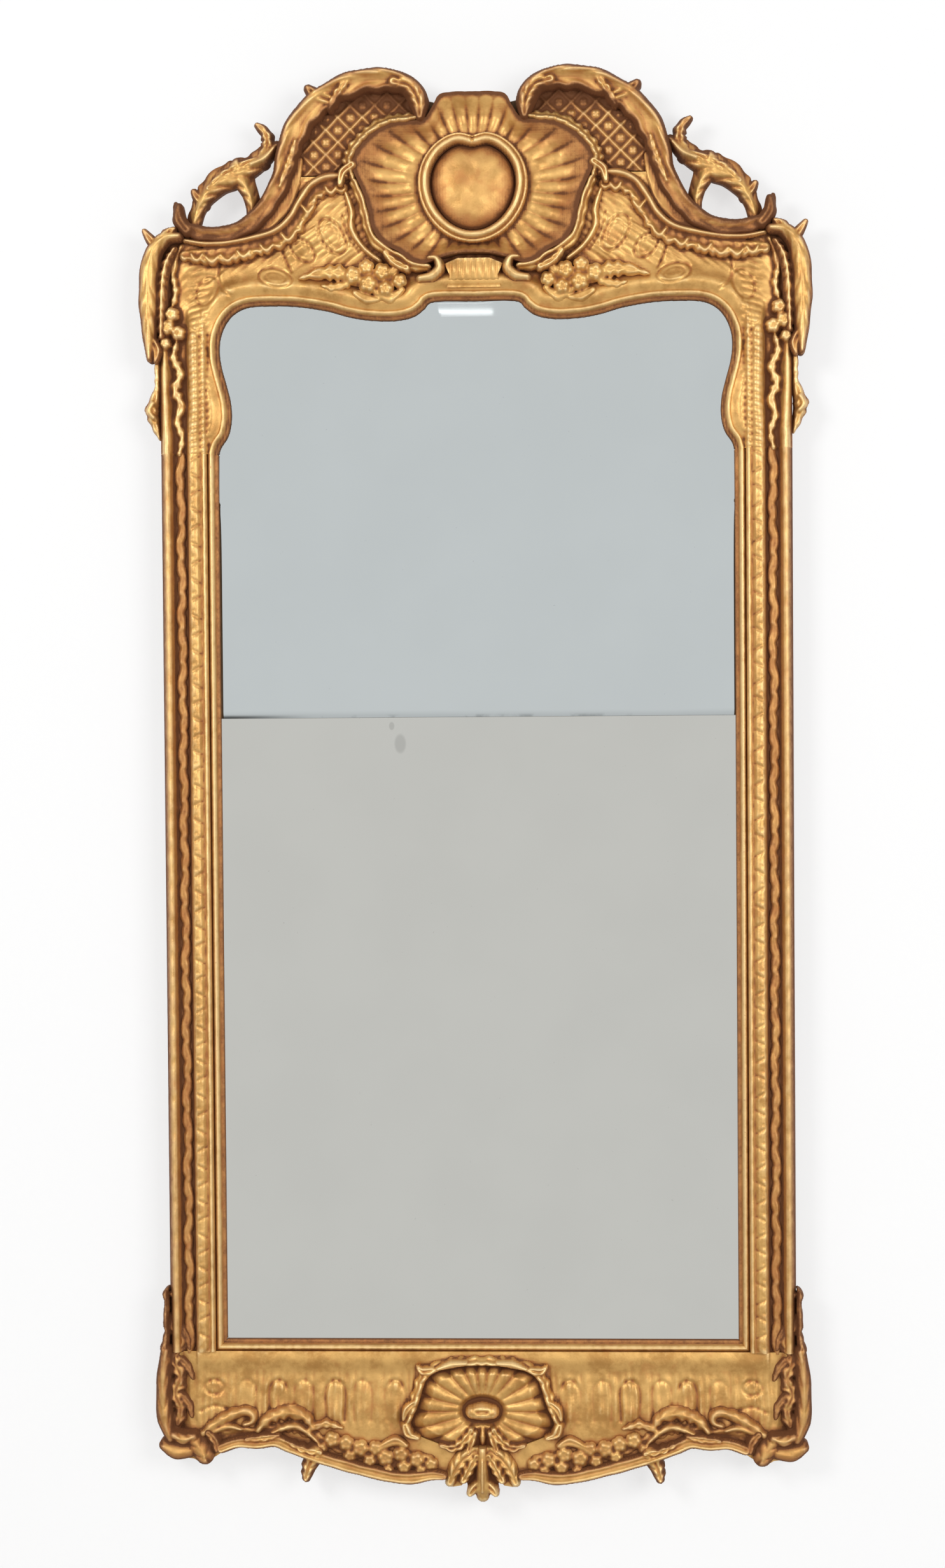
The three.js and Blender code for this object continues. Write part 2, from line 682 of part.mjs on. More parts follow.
/** Spray of flowers below the shell, with a long leaf outwards. */
function flowerSpray() {
  const leaf = carved(crest([[168, 36], [192, 40], [216, 38], [242, 34]]), {
    widths: [5, 12, 11, 2], rise: FLOWER_RISE * 0.7, section: LEAF, steps: 8,
  });
  const stem = carved(crest([[172, 34], [150, 30], [128, 26], [112, 28]]), {
    widths: [6, 9, 9, 6], rise: FLOWER_RISE * 0.5, section: LEAF, steps: 8,
  });
  const buds = [[166, 34, 12], [146, 27, 12], [126, 38, 11], [124, 16, 9], [106, 26, 9], [150, 44, 8]];
  return join(leaf, stem, ...buds.map(([x, z, r]) => bud(x, TOP + z, r, RELIEF, FLOWER_RISE)));
}

/** Broad C-scroll that forms the ear of the frame. */
function shoulderScroll() {
  const path = crest([
    [HALF_WIDTH + 12, -72], [HALF_WIDTH + 13, -46], [HALF_WIDTH + 13, -4], [HALF_WIDTH + 12, 40],
    [HALF_WIDTH + 5, 72], [HALF_WIDTH - 11, 90], [HALF_WIDTH - 28, 92],
  ]);
  const widths = [5, 10, 15, 15, 12, 9, 6];
  const ear = carved(path, { widths, rise: SCROLL_RISE * 0.8, section: CHANNEL, steps: 15 });
  const tip = carved(crest([[HALF_WIDTH + 6, 80], [HALF_WIDTH + 13, 92], [HALF_WIDTH + 20, 104]]), {
    widths: [7, 5, 1.5], rise: SCROLL_RISE * 0.6, section: LEAF, steps: 5,
  });
  return join(ear, tip);
}

/** Small volute and leaf against the outer side of the frame. */
function stileVolute() {
  const stations = [[-186, 1.5], [-168, 8], [-146, 12], [-128, 7.5], [-112, 4.5], [-80, 4.5]];
  const path = stations.map(([z, half]) => p2(HALF_WIDTH + FIT + half, TOP + z));
  return carved(path, {
    widths: stations.map(([, half]) => half * 0.97),
    rise: MOULDING_RISE * 0.7, back: FACE, section: LEAF, steps: 12,
  });
}

const panelHalf = crest([
  [0, 272], [40, 272], [70, 279], [102, 294], [132, 298], [162, 291], [192, 276], [218, 254],
  [236, 230], [247, 204], [CREST_REACH - 8, 174], [inCrest(0.04), 142], [inCrest(0.16), 112],
]);
const panelOutline = [
  ...panelHalf,
  p2(inCrest(0.34), TOP + 93),
  p2(GLASS_HALF, TOP + 88),
  p2(GLASS_HALF, GLASS_TOP + FIT),
];
add("crest_panel", board([...panelOutline, ...flipped(panelOutline).slice(0, -1)], 0, CARCASS_DEPTH), PINE);

add("frieze_top", friezeTop(), GILT);
addPair("shoulder_block", shoulderBlock(), GILT);
addPair("trellis_panel", trellisPanel(), GILT);
addPair("crest_scroll", crestScroll(), GILT);
addPair("pierced_bracket", piercedBracket(), GILT);
addPair("rocaille_border", rocailleBorder(), GILT);
add("crest_shell", crestShell(), GILT);
addPair("shell_rim", shellRim(), GILT);
add("shell_foot", shellFoot(), GILT);
add("cartouche_frame", cartoucheFrame(), GILT);
add("cartouche_boss", cartoucheBoss(), GILT);
addPair("flower_spray", flowerSpray(), GILT);
addPair("shoulder_scroll", shoulderScroll(), GILT);
addPair("stile_volute", stileVolute(), GILT);

// ---------------------------------------------------------------- apron

/** Right half of the apron shell's outline, from the top to the bottom. */
const apronShellHalf = smooth(
  apron([
    [0, -31], [28, -32], [50, -35], [68, -42], [79, -51], [85, -66], [90, -82], [96, -99],
    [102, -113], [100, -126], [82, -136], [56, -146], [28, -153], [0, -155],
  ]),
  22,
);

/** Shell of the apron with its knob. */
function apronShell() {
  const loop = [...apronShellHalf, ...flipped(apronShellHalf).slice(1, -1)];
  const centre = p2(0, SIGHT_BOTTOM + APRON_KNOB_Z);
  const towards = (share) => loop.map((p) => p.clone().lerp(centre, share));
  const fluted = (points, depth, flute) =>
    points.map((p, k) => new THREE.Vector3(p.x, -(depth + (k % 2 ? flute : -flute)), p.y));
  const floor = FACE + SHELL_FLOOR;
  const body = loft([
    raised(loop, FACE),
    raised(loop, FACE + APRON_LIP - 3),
    fluted(towards(0.1), FACE + APRON_LIP - 1.5, 1.5),
    fluted(towards(0.45), floor + 9, 2),
    fluted(towards(0.75), floor + 2, 1),
  ]);
  const across = [p2(-KNOB_HALF_WIDTH, centre.y), p2(0, centre.y + 2), p2(KNOB_HALF_WIDTH, centre.y)];
  const knob = carved(across, {
    widths: [KNOB_HALF_HEIGHT * 0.5, KNOB_HALF_HEIGHT, KNOB_HALF_HEIGHT * 0.5],
    rises: [0.7, 1, 0.7], rise: KNOB_RISE, back: FACE + 2, steps: 8,
  });
  return join(body, knob);
}

/** Ruffled rim over the top and sides of the apron shell. */
function apronRim() {
  const last = 17;
  const half = offset(apronShellHalf, APRON_RIM_HALF + 2 * FIT).slice(0, last);
  half[0].x = 0;
  const line = [...flipped(half).slice(0, -1), ...half];
  const widths = line.map((_, k) => APRON_RIM_HALF * (k % 2 ? 1 : 0.8));
  return carved(line, { widths, rise: RIM_RISE * 0.8, steps: line.length - 1 });
}

/** Ground board of the apron, round the shell. */
function friezeBottom() {
  const right = [
    ...apron([[0, -SLIP_WIDTH - FIT], [HALF_WIDTH, -SLIP_WIDTH - FIT], [HALF_WIDTH + 8, -36]]),
    ...apron([[HALF_WIDTH + 13, -76], [HALF_WIDTH + 13, -109], [HALF_WIDTH + 7, -133]]),
    ...apron([[HALF_WIDTH - 1, -150], [HALF_WIDTH - 5, -164], [HALF_WIDTH - 32, -167]]),
    ...apron([[HALF_WIDTH - 46, -175], [HALF_WIDTH - 62, -164], [HALF_WIDTH - 80, -152]]),
    ...apron([[HALF_WIDTH - 95, -147], [inApron(0.57), -151], [inApron(0.53), -147]]),
    ...apron([[inApron(0.47), -157], [inApron(0.35), -168], [inApron(0.2), -183], [inApron(0.1), -192]]),
    ...apron([[122, -196], [100, -197], [67, -192], [40, -194], [20, -188], [0, -186]]),
  ];
  return cut(board([...right, ...flipped(right).slice(1, -1)], FACE, GROUND), roomFor(apronShellHalf));
}

/** C-scroll down the corner, and the leaf above it against the side of the frame. */
function cornerScroll() {
  const path = apron([
    [HALF_WIDTH + 4, -22], [HALF_WIDTH + 8, -44], [HALF_WIDTH + 9, -80], [HALF_WIDTH + 7, -112],
    [HALF_WIDTH - 2, -140], [HALF_WIDTH - 20, -156], [HALF_WIDTH - 44, -164], [HALF_WIDTH - 64, -155],
  ]);
  const scroll = carved(path, {
    widths: [7, 9, 11, 12, 12, 12, 12, 6], rise: SCROLL_RISE * 0.8, section: CHANNEL, steps: 16,
  });
  const stations = [[-24, 6], [-8, 7], [12, 4], [30, 5], [50, 3.5], [68, 5], [74, 2]];
  const side = stations.map(([z, half]) => p2(HALF_WIDTH + FIT + half, SIGHT_BOTTOM + z));
  const leaf = carved(side, {
    widths: stations.map(([, half]) => half * 0.97),
    rises: [0.9, 0.9, 0.8, 0.8, 0.7, 0.7, 0.5],
    rise: MOULDING_RISE * 0.8, section: LEAF, steps: 12,
  });
  return join(scroll, leaf);
}

/** Moulding along the lower edge of the apron, with its hanging leaf. */
function apronScroll() {
  const path = apron([
    [HALF_WIDTH - 82, -146], [HALF_WIDTH - 98, -141], [inApron(0.62), -143], [inApron(0.54), -140],
    [inApron(0.47), -149], [inApron(0.35), -163], [inApron(0.2), -177], [inApron(0.1), -185],
    [122, -190], [98, -191], [72, -187], [56, -189],
  ]);
  const edge = carved(path, {
    widths: [7, 8, 8, 9, 9, 9, 9, 9, 9, 9, 8, 5], rise: SCROLL_RISE * 0.7, section: CHANNEL, steps: 22,
  });
  const x = inApron(0.4);
  const drop = carved(apron([[x - 5, -160], [x, -180], [x + 2, -198]]), {
    widths: [8, 8, 3], rise: SCROLL_RISE * 0.5, section: LEAF, steps: 6,
  });
  return join(edge, drop);
}

/** Ruffle and flowers above the lower edge. */
function apronRuffle() {
  const path = apron([
    [HALF_WIDTH - 46, -138], [HALF_WIDTH - 66, -128], [HALF_WIDTH - 90, -124], [inApron(0.62), -121],
    [inApron(0.54), -115], [inApron(0.47), -111], [inApron(0.4), -120], [inApron(0.33), -136],
    [inApron(0.22), -148], [inApron(0.1), -157], [inApron(0), -160],
  ]);
  const line = smooth(path, 27);
  const widths = line.map((_, k) => BORDER_HALF * (k % 3 === 1 ? 1.15 : 0.8));
  const ruffle = carved(line, { widths, rise: BORDER_RISE, section: LEAF, steps: line.length - 1 });
  const buds = [[0.3, -132, 10], [0.2, -141, 10], [0.1, -148, 11], [0.02, -154, 9]];
  const flower = ([t, z, r]) => bud(inApron(t), SIGHT_BOTTOM + z, r, RELIEF, FLOWER_RISE);
  return join(ruffle, ...buds.map(flower));
}

/** Acanthus pendant with a leaf to each side. */
function apronPendant() {
  const middle = carved(apron([[0, -158], [0, -176], [0, -196], [0, -212], [0, -226]]), {
    widths: [9, 15, 18, 17, 5],
    rises: [0.9, 1, 0.9, 0.8, 0.5],
    rise: PENDANT_RISE, section: LEAF, steps: 12,
  });
  const side = carved(apron([[4, -172], [20, -182], [36, -196], [46, -204]]), {
    widths: [9, 10, 9, 3], rise: PENDANT_RISE * 0.7, section: LEAF, steps: 8,
  });
  return join(middle, side, mirrored(side));
}

add("frieze_bottom", friezeBottom(), GILT);
add("apron_shell", apronShell(), GILT);
add("apron_shell_rim", apronRim(), GILT);
add("apron_pendant", apronPendant(), GILT);
addPair("corner_scroll", cornerScroll(), GILT);
addPair("apron_scroll", apronScroll(), GILT);
addPair("apron_ruffle", apronRuffle(), GILT);

// ---------------------------------------------------------------- hangers

const barY = STRAP_THICKNESS + FIT + KNUCKLE_CLEARANCE + WIRE_RADIUS;
const boreRadius = WIRE_RADIUS + KNUCKLE_CLEARANCE;

/** Strap with a rolled knuckle at its top, for the ring's bar. */
function hangerStrap() {
  const low = hangerZ - STRAP_LENGTH;
  const half = STRAP_WIDTH / 2;
  const strap = plank(hangerX - half, hangerX + half, low, hangerZ, -FIT - STRAP_THICKNESS, -FIT);
  const roll = (radius, length) => {
    const geometry = new THREE.CylinderGeometry(radius, radius, length, KNUCKLE_SIDES);
    geometry.rotateZ(Math.PI / 2);
    geometry.translate(hangerX, barY, hangerZ);
    return geometry;
  };
  const knuckle = roll(boreRadius + KNUCKLE_WALL, KNUCKLE_LENGTH);
  const clear = new THREE.BoxGeometry(STRAP_WIDTH * 2, STRAP_THICKNESS * 4, STRAP_LENGTH * 2);
  clear.translate(hangerX, -STRAP_THICKNESS * 2 + FIT, hangerZ);
  const hole = (drop) => pin(hangerX, hangerZ - drop, SCREW_SHANK + SCREW_CLEARANCE, -10, 10);
  return cut(join(strap, knuckle), roll(boreRadius, STRAP_WIDTH * 2), clear, ...SCREW_DROPS.map(hole));
}

/** Bent wire ring: a bar through the knuckle, short sides and a round bow. */
function hangerRing() {
  const line = [];
  const arc = (cx, cz, radius, from, to, steps) => {
    for (let k = 0; k <= steps; k++) {
      const a = THREE.MathUtils.degToRad(THREE.MathUtils.lerp(from, to, k / steps));
      line.push(p2(cx + radius * Math.cos(a), cz + radius * Math.sin(a)));
    }
  };
  arc(RING_HALF - RING_CORNER, -RING_CORNER, RING_CORNER, 90, 0, 2);
  arc(0, -RING_SIDE, RING_HALF, 0, -180, 10);
  arc(-RING_HALF + RING_CORNER, -RING_CORNER, RING_CORNER, 180, 90, 2);
  const rings = line.map((p, k) => {
    const before = line[(k + line.length - 1) % line.length];
    const after = line[(k + 1) % line.length];
    const along = after.clone().sub(before).normalize();
    const ring = [];
    for (let s = 0; s < WIRE_SIDES; s++) {
      const a = (s / WIRE_SIDES) * 2 * Math.PI;
      const side = WIRE_RADIUS * Math.cos(a);
      ring.push(new THREE.Vector3(hangerX + p.x - along.y * side, barY + WIRE_RADIUS * Math.sin(a),
        hangerZ + p.y + along.x * side));
    }
    return ring;
  });
  return loft(rings, true);
}

/** Round-headed screw, driven from the back. */
function hangerScrew(drop) {
  const seat = STRAP_THICKNESS + 2 * FIT;
  const profile = [
    p2(0, seat - SCREW_LENGTH),
    p2(SCREW_SHANK, seat - SCREW_LENGTH + SCREW_SHANK),
    p2(SCREW_SHANK, seat),
    p2(SCREW_HEAD, seat),
    p2(SCREW_HEAD * 0.7, seat + SCREW_HEAD_RISE * 0.8),
    p2(0, seat + SCREW_HEAD_RISE),
  ];
  const geometry = new THREE.LatheGeometry(profile, PIN_SIDES);
  geometry.translate(hangerX, 0, hangerZ - drop);
  return geometry;
}

addPair("hanger_strap", hangerStrap(), IRON);
addPair("hanger_ring", hangerRing(), IRON);
addPair("hanger_screw_upper", hangerScrew(SCREW_DROPS[0]), IRON);
addPair("hanger_screw_lower", hangerScrew(SCREW_DROPS[1]), IRON);

model.position.z = -JOINT;

export default model;
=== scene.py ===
"""Tall carved and gilt pier mirror with two plates: its looks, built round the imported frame.

Carving is worked out in millimetres: x to the right of the centre line, z up from the joint
of the two plates, and depth forwards from the wall. Blender gets metres, with the front at -Y.
"""

import math
from functools import partial

import bpy
import numpy as np
from mathutils import Matrix, Vector
from mathutils.geometry import tessellate_polygon


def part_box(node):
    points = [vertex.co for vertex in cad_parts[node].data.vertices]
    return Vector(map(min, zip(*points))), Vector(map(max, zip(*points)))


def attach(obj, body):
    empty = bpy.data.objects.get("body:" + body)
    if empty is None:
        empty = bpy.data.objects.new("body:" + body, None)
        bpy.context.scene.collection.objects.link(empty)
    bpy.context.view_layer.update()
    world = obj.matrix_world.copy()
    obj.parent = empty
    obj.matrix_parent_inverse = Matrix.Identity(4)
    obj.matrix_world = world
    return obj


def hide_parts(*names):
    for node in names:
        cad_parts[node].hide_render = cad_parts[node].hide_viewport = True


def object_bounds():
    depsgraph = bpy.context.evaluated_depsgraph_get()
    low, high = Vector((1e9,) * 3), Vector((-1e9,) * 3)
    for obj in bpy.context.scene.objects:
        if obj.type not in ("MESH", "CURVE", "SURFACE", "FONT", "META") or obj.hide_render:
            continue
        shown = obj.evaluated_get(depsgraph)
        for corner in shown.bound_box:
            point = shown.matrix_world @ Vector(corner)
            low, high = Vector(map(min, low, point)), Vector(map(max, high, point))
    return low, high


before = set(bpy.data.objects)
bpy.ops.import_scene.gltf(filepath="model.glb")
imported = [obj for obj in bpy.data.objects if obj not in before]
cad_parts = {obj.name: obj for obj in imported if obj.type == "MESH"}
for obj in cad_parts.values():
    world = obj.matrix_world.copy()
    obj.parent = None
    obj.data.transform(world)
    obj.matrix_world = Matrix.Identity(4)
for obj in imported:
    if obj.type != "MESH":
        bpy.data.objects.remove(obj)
cad_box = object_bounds()

# ---------------------------------------------------------------- camera

PHOTO_WIDTH, PHOTO_HEIGHT = 1485, 2464
CAMERA_PLACE = (0.1705, -4.0, 0.0264)  # fitted to the outer edges of the frame
CAMERA_TURN, CAMERA_TILT, CAMERA_ROLL = -0.0448, -0.0301, -0.0077
FOCAL_PIXELS = 4493.6
SENSOR = 36.0


def make_camera():
    """Camera at the photograph's viewing angle."""
    camera = bpy.data.cameras.new("camera")
    camera.sensor_width = SENSOR
    camera.lens = SENSOR * FOCAL_PIXELS / PHOTO_HEIGHT
    ahead = Vector((
        math.sin(CAMERA_TURN) * math.cos(CAMERA_TILT),
        math.cos(CAMERA_TURN) * math.cos(CAMERA_TILT),
        math.sin(CAMERA_TILT),
    ))
    level = Vector((math.cos(CAMERA_TURN), -math.sin(CAMERA_TURN), 0))
    upright = level.cross(ahead)
    right = math.cos(CAMERA_ROLL) * level + math.sin(CAMERA_ROLL) * upright
    up = -math.sin(CAMERA_ROLL) * level + math.cos(CAMERA_ROLL) * upright
    holder = bpy.data.objects.new("camera", camera)
    turn = Matrix((right, up, -ahead)).transposed().to_4x4()
    holder.matrix_world = Matrix.Translation(CAMERA_PLACE) @ turn
    bpy.context.scene.collection.objects.link(holder)
    bpy.context.scene.camera = holder


make_camera()

# ---------------------------------------------------------------- sizes

MM = 0.001


def span(node, axis):
    """Lowest and highest place of a node along an axis, in mm."""
    low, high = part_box(node)
    return low[axis] / MM, high[axis] / MM


GLASS_LAP = 6.0  # glass behind the slips
SIGHT_HEIGHT = 1446.0
SIGHT_HALF = span("mirror_plate_lower", 0)[1] - GLASS_LAP
SIGHT_LOW = span("mirror_plate_lower", 2)[0] + GLASS_LAP
TOP = SIGHT_LOW + SIGHT_HEIGHT
HALF_WIDTH = span("side_moulding_right", 0)[1]
SPRING = span("side_moulding_right", 2)[1]
GLASS_DEPTH = -span("mirror_plate_lower", 1)[0]
FACE = -span("side_moulding_right", 1)[1]
GROUND = -span("shoulder_block_right", 1)[0]
FOOT = FACE + 1.0  # backs of the carvings, sunk into the boards
BOARD_BACK = 0.05 - span("carcass_stile_right", 1)[0]  # backs of the boards, on the carcass
SLIP_WIDTH = span("side_moulding_right", 0)[0] - SIGHT_HALF
SEAM = SIGHT_HALF - 57.0  # where the frieze board meets the shoulder boards
SHELL_MIDDLE = (0.0, TOP + 155.0)
SHELL_SEAT = FACE + 8.3
KNOB_MIDDLE = (0.0, SIGHT_LOW - 99.0)


def crest(points):
    """Places on the crest, with heights counted from the flat top of the sight."""
    return [(x, TOP + z) for x, z in points]


def apron(points):
    """Places on the apron, with heights counted from the foot of the sight."""
    return [(x, SIGHT_LOW + z) for x, z in points]


# ---------------------------------------------------------------- lines

def curve(points, steps=48):
    """Smooth line through points."""
    points = np.array(points, float)
    place = np.linspace(0, len(points) - 1, steps)
    k = np.minimum(place.astype(int), len(points) - 2)
    f = (place - k)[:, None]
    before, here = points[np.maximum(k - 1, 0)], points[k]
    after, beyond = points[k + 1], points[np.minimum(k + 2, len(points) - 1)]
    leave, arrive = (after - before) / 2, (beyond - here) / 2
    bend = 2 * here - 2 * after + leave + arrive
    return bend * f**3 + (3 * after - 3 * here - 2 * leave - arrive) * f**2 + leave * f + here


def offset(line, distance):
    """Line moved to the left of the way it runs."""
    along = np.gradient(line, axis=0)
    along /= np.hypot(along[:, 0], along[:, 1])[:, None]
    return line + distance * np.stack([-along[:, 1], along[:, 0]], axis=1)


def nearest(line, x, z):
    """Share along a line, distance to its left, and distance run, at the line's nearest place."""
    gap = np.full(x.shape, np.inf)
    place = np.zeros(x.shape)
    left = np.ones(x.shape)
    lengths = np.hypot(*np.diff(line, axis=0).T)
    for k, (a, b) in enumerate(zip(line[:-1], line[1:])):
        way = b - a
        px, pz = x - a[0], z - a[1]
        f = np.clip((px * way[0] + pz * way[1]) / max(way @ way, 1e-9), 0, 1)
        here = np.hypot(px - f * way[0], pz - f * way[1])
        closer = here < gap
        gap = np.where(closer, here, gap)
        place = np.where(closer, k + f, place)
        left = np.where(closer, np.where(way[0] * pz - way[1] * px < 0, -1, 1), left)
    run = np.interp(place, range(len(line)), np.concatenate([[0], np.cumsum(lengths)]))
    return place / (len(line) - 1), gap * left, run


def inside_outline(line, x, z):
    """Depth inside a closed outline, below 0 outside it."""
    loop = np.array([*line, line[0]], float)
    gap = np.abs(nearest(loop, x, z)[1])
    within = np.zeros(x.shape, bool)
    for a, b in zip(loop[:-1], loop[1:]):
        if a[1] != b[1]:
            crossing = (b[0] - a[0]) * (z - a[1]) / (b[1] - a[1]) + a[0]
            within ^= ((a[1] > z) != (b[1] > z)) & (x < crossing)
    return np.where(within, gap, -gap)


def mixed(values, share):
    """Values spread evenly over a line, read at a share of it."""
    return np.interp(share, np.linspace(0, 1, len(values)), values)


def step_up(value, low, high):
    """Soft step from 0 at low to 1 at high."""
    f = np.clip((value - low) / (high - low), 0, 1)
    return f * f * (3 - 2 * f)


def bump(value, middle, half):
    """Soft round swelling of height 1."""
    return np.exp(-(((value - middle) / half) ** 2))


def uneven(run, pitch):
    """Distance run, stretched and squeezed as hand work is."""
    return run + pitch * (0.24 * np.sin(run / (1.3 * pitch)) + 0.14 * np.sin(run / (0.47 * pitch) + 1))


def lobes(angle, count):
    """1 along the middle of a shell's lobes, 0 between two of them."""
    turn = angle - math.pi / 2
    return np.abs(np.cos(count / 2 * (turn + 0.025 * np.sin(4 * turn))))


def blurred(values, radius):
    """Values smoothed over a radius in cells."""
    reach = int(math.ceil(2.5 * radius))
    taps = np.exp(-0.5 * (np.arange(-reach, reach + 1) / radius) ** 2)
    taps /= taps.sum()
    for axis in (0, 1):
        edge = [(reach, reach) if a == axis else (0, 0) for a in (0, 1)]
        wide = np.pad(values, edge, mode="edge")
        count = values.shape[axis]
        values = sum(
            tap * np.take(wide, range(k, k + count), axis=axis) for k, tap in enumerate(taps)
        )
    return values


# Sections of carved bands: across from -1 to 1, and the share of the rise.
ROLL = [(-1, 0.12), (-0.86, 0.44), (-0.55, 0.84), (0, 1), (0.55, 0.84), (0.86, 0.44), (1, 0.12)]
TWIN = [
    (-1, 0.2), (-0.88, 0.56), (-0.72, 0.72), (-0.5, 0.66), (-0.15, 0.6), (0.18, 0.72), (0.44, 0.96),
    (0.58, 1), (0.74, 0.88), (0.9, 0.58), (1, 0.2),
]
LEAF = [
    (-1, 0.12), (-0.85, 0.5), (-0.45, 0.92), (-0.18, 0.87), (0, 0.64), (0.18, 0.87), (0.45, 0.92),
    (0.85, 0.5), (1, 0.12),
]
RUFFLE = [
    (-1, 0.15), (-0.85, 0.6), (-0.6, 0.92), (-0.3, 0.74), (0.1, 0.42), (0.5, 0.5), (0.8, 0.62),
    (1, 0.2),
]
RIM = [
    (-1, 0.2), (-0.8, 0.8), (-0.45, 1), (-0.15, 0.82), (0.15, 0.56), (0.5, 0.6), (0.8, 0.5), (1, 0.15),
]
BRANCH = [
    (-1, 0.4), (-0.7, 0.58), (-0.4, 0.74), (-0.1, 0.9), (0.25, 1), (0.6, 0.94), (0.85, 0.78), (1, 0.5),
]
COVE = [(-1, 0.3), (-0.8, 0.62), (-0.3, 0.5), (0.1, 0.56), (0.4, 0.5), (0.75, 0.75), (1, 0.4)]
COLLAR = [
    (-1, 0.4), (-0.8, 0.78), (-0.4, 0.99), (0, 1), (0.3, 0.9), (0.5, 0.74), (0.6, 0.7), (0.75, 0.8),
    (0.88, 0.74), (1, 0.4),
]
SHOULDER = [(-1, 0.2), (-0.85, 0.6), (-0.5, 0.92), (0, 1), (0.4, 0.9), (0.75, 0.62), (1, 0.15)]
CORNER = [(-1, 0.15), (-0.8, 0.6), (-0.4, 0.92), (0, 1), (0.4, 0.9), (0.75, 0.66), (1, 0.2)]
KNOB = [(-1, 0.3), (-0.85, 0.62), (-0.5, 0.9), (0, 1), (0.5, 0.9), (0.85, 0.62), (1, 0.3)]
EDGE = [
    (-1, 0.25), (-0.8, 0.72), (-0.5, 0.84), (-0.2, 0.72), (0.05, 0.8), (0.35, 1), (0.65, 0.85),
    (1, 0.15),
]
# Cuts along a leaf: their pitch in mm, depth as a share of the rise, and slant.
VEINS, DEEP_VEINS = (13, 0.25, 0.9), (13, 0.3, 0.9)


# ---------------------------------------------------------------- carving

BROAD = 1.35  # mm between the points of the broad boards
SHELL_GAP = 0.6  # mm between a board and the shell let into it
PETALS = 5
HAND_WAVE = 0.22  # mm of unevenness that the gouge leaves


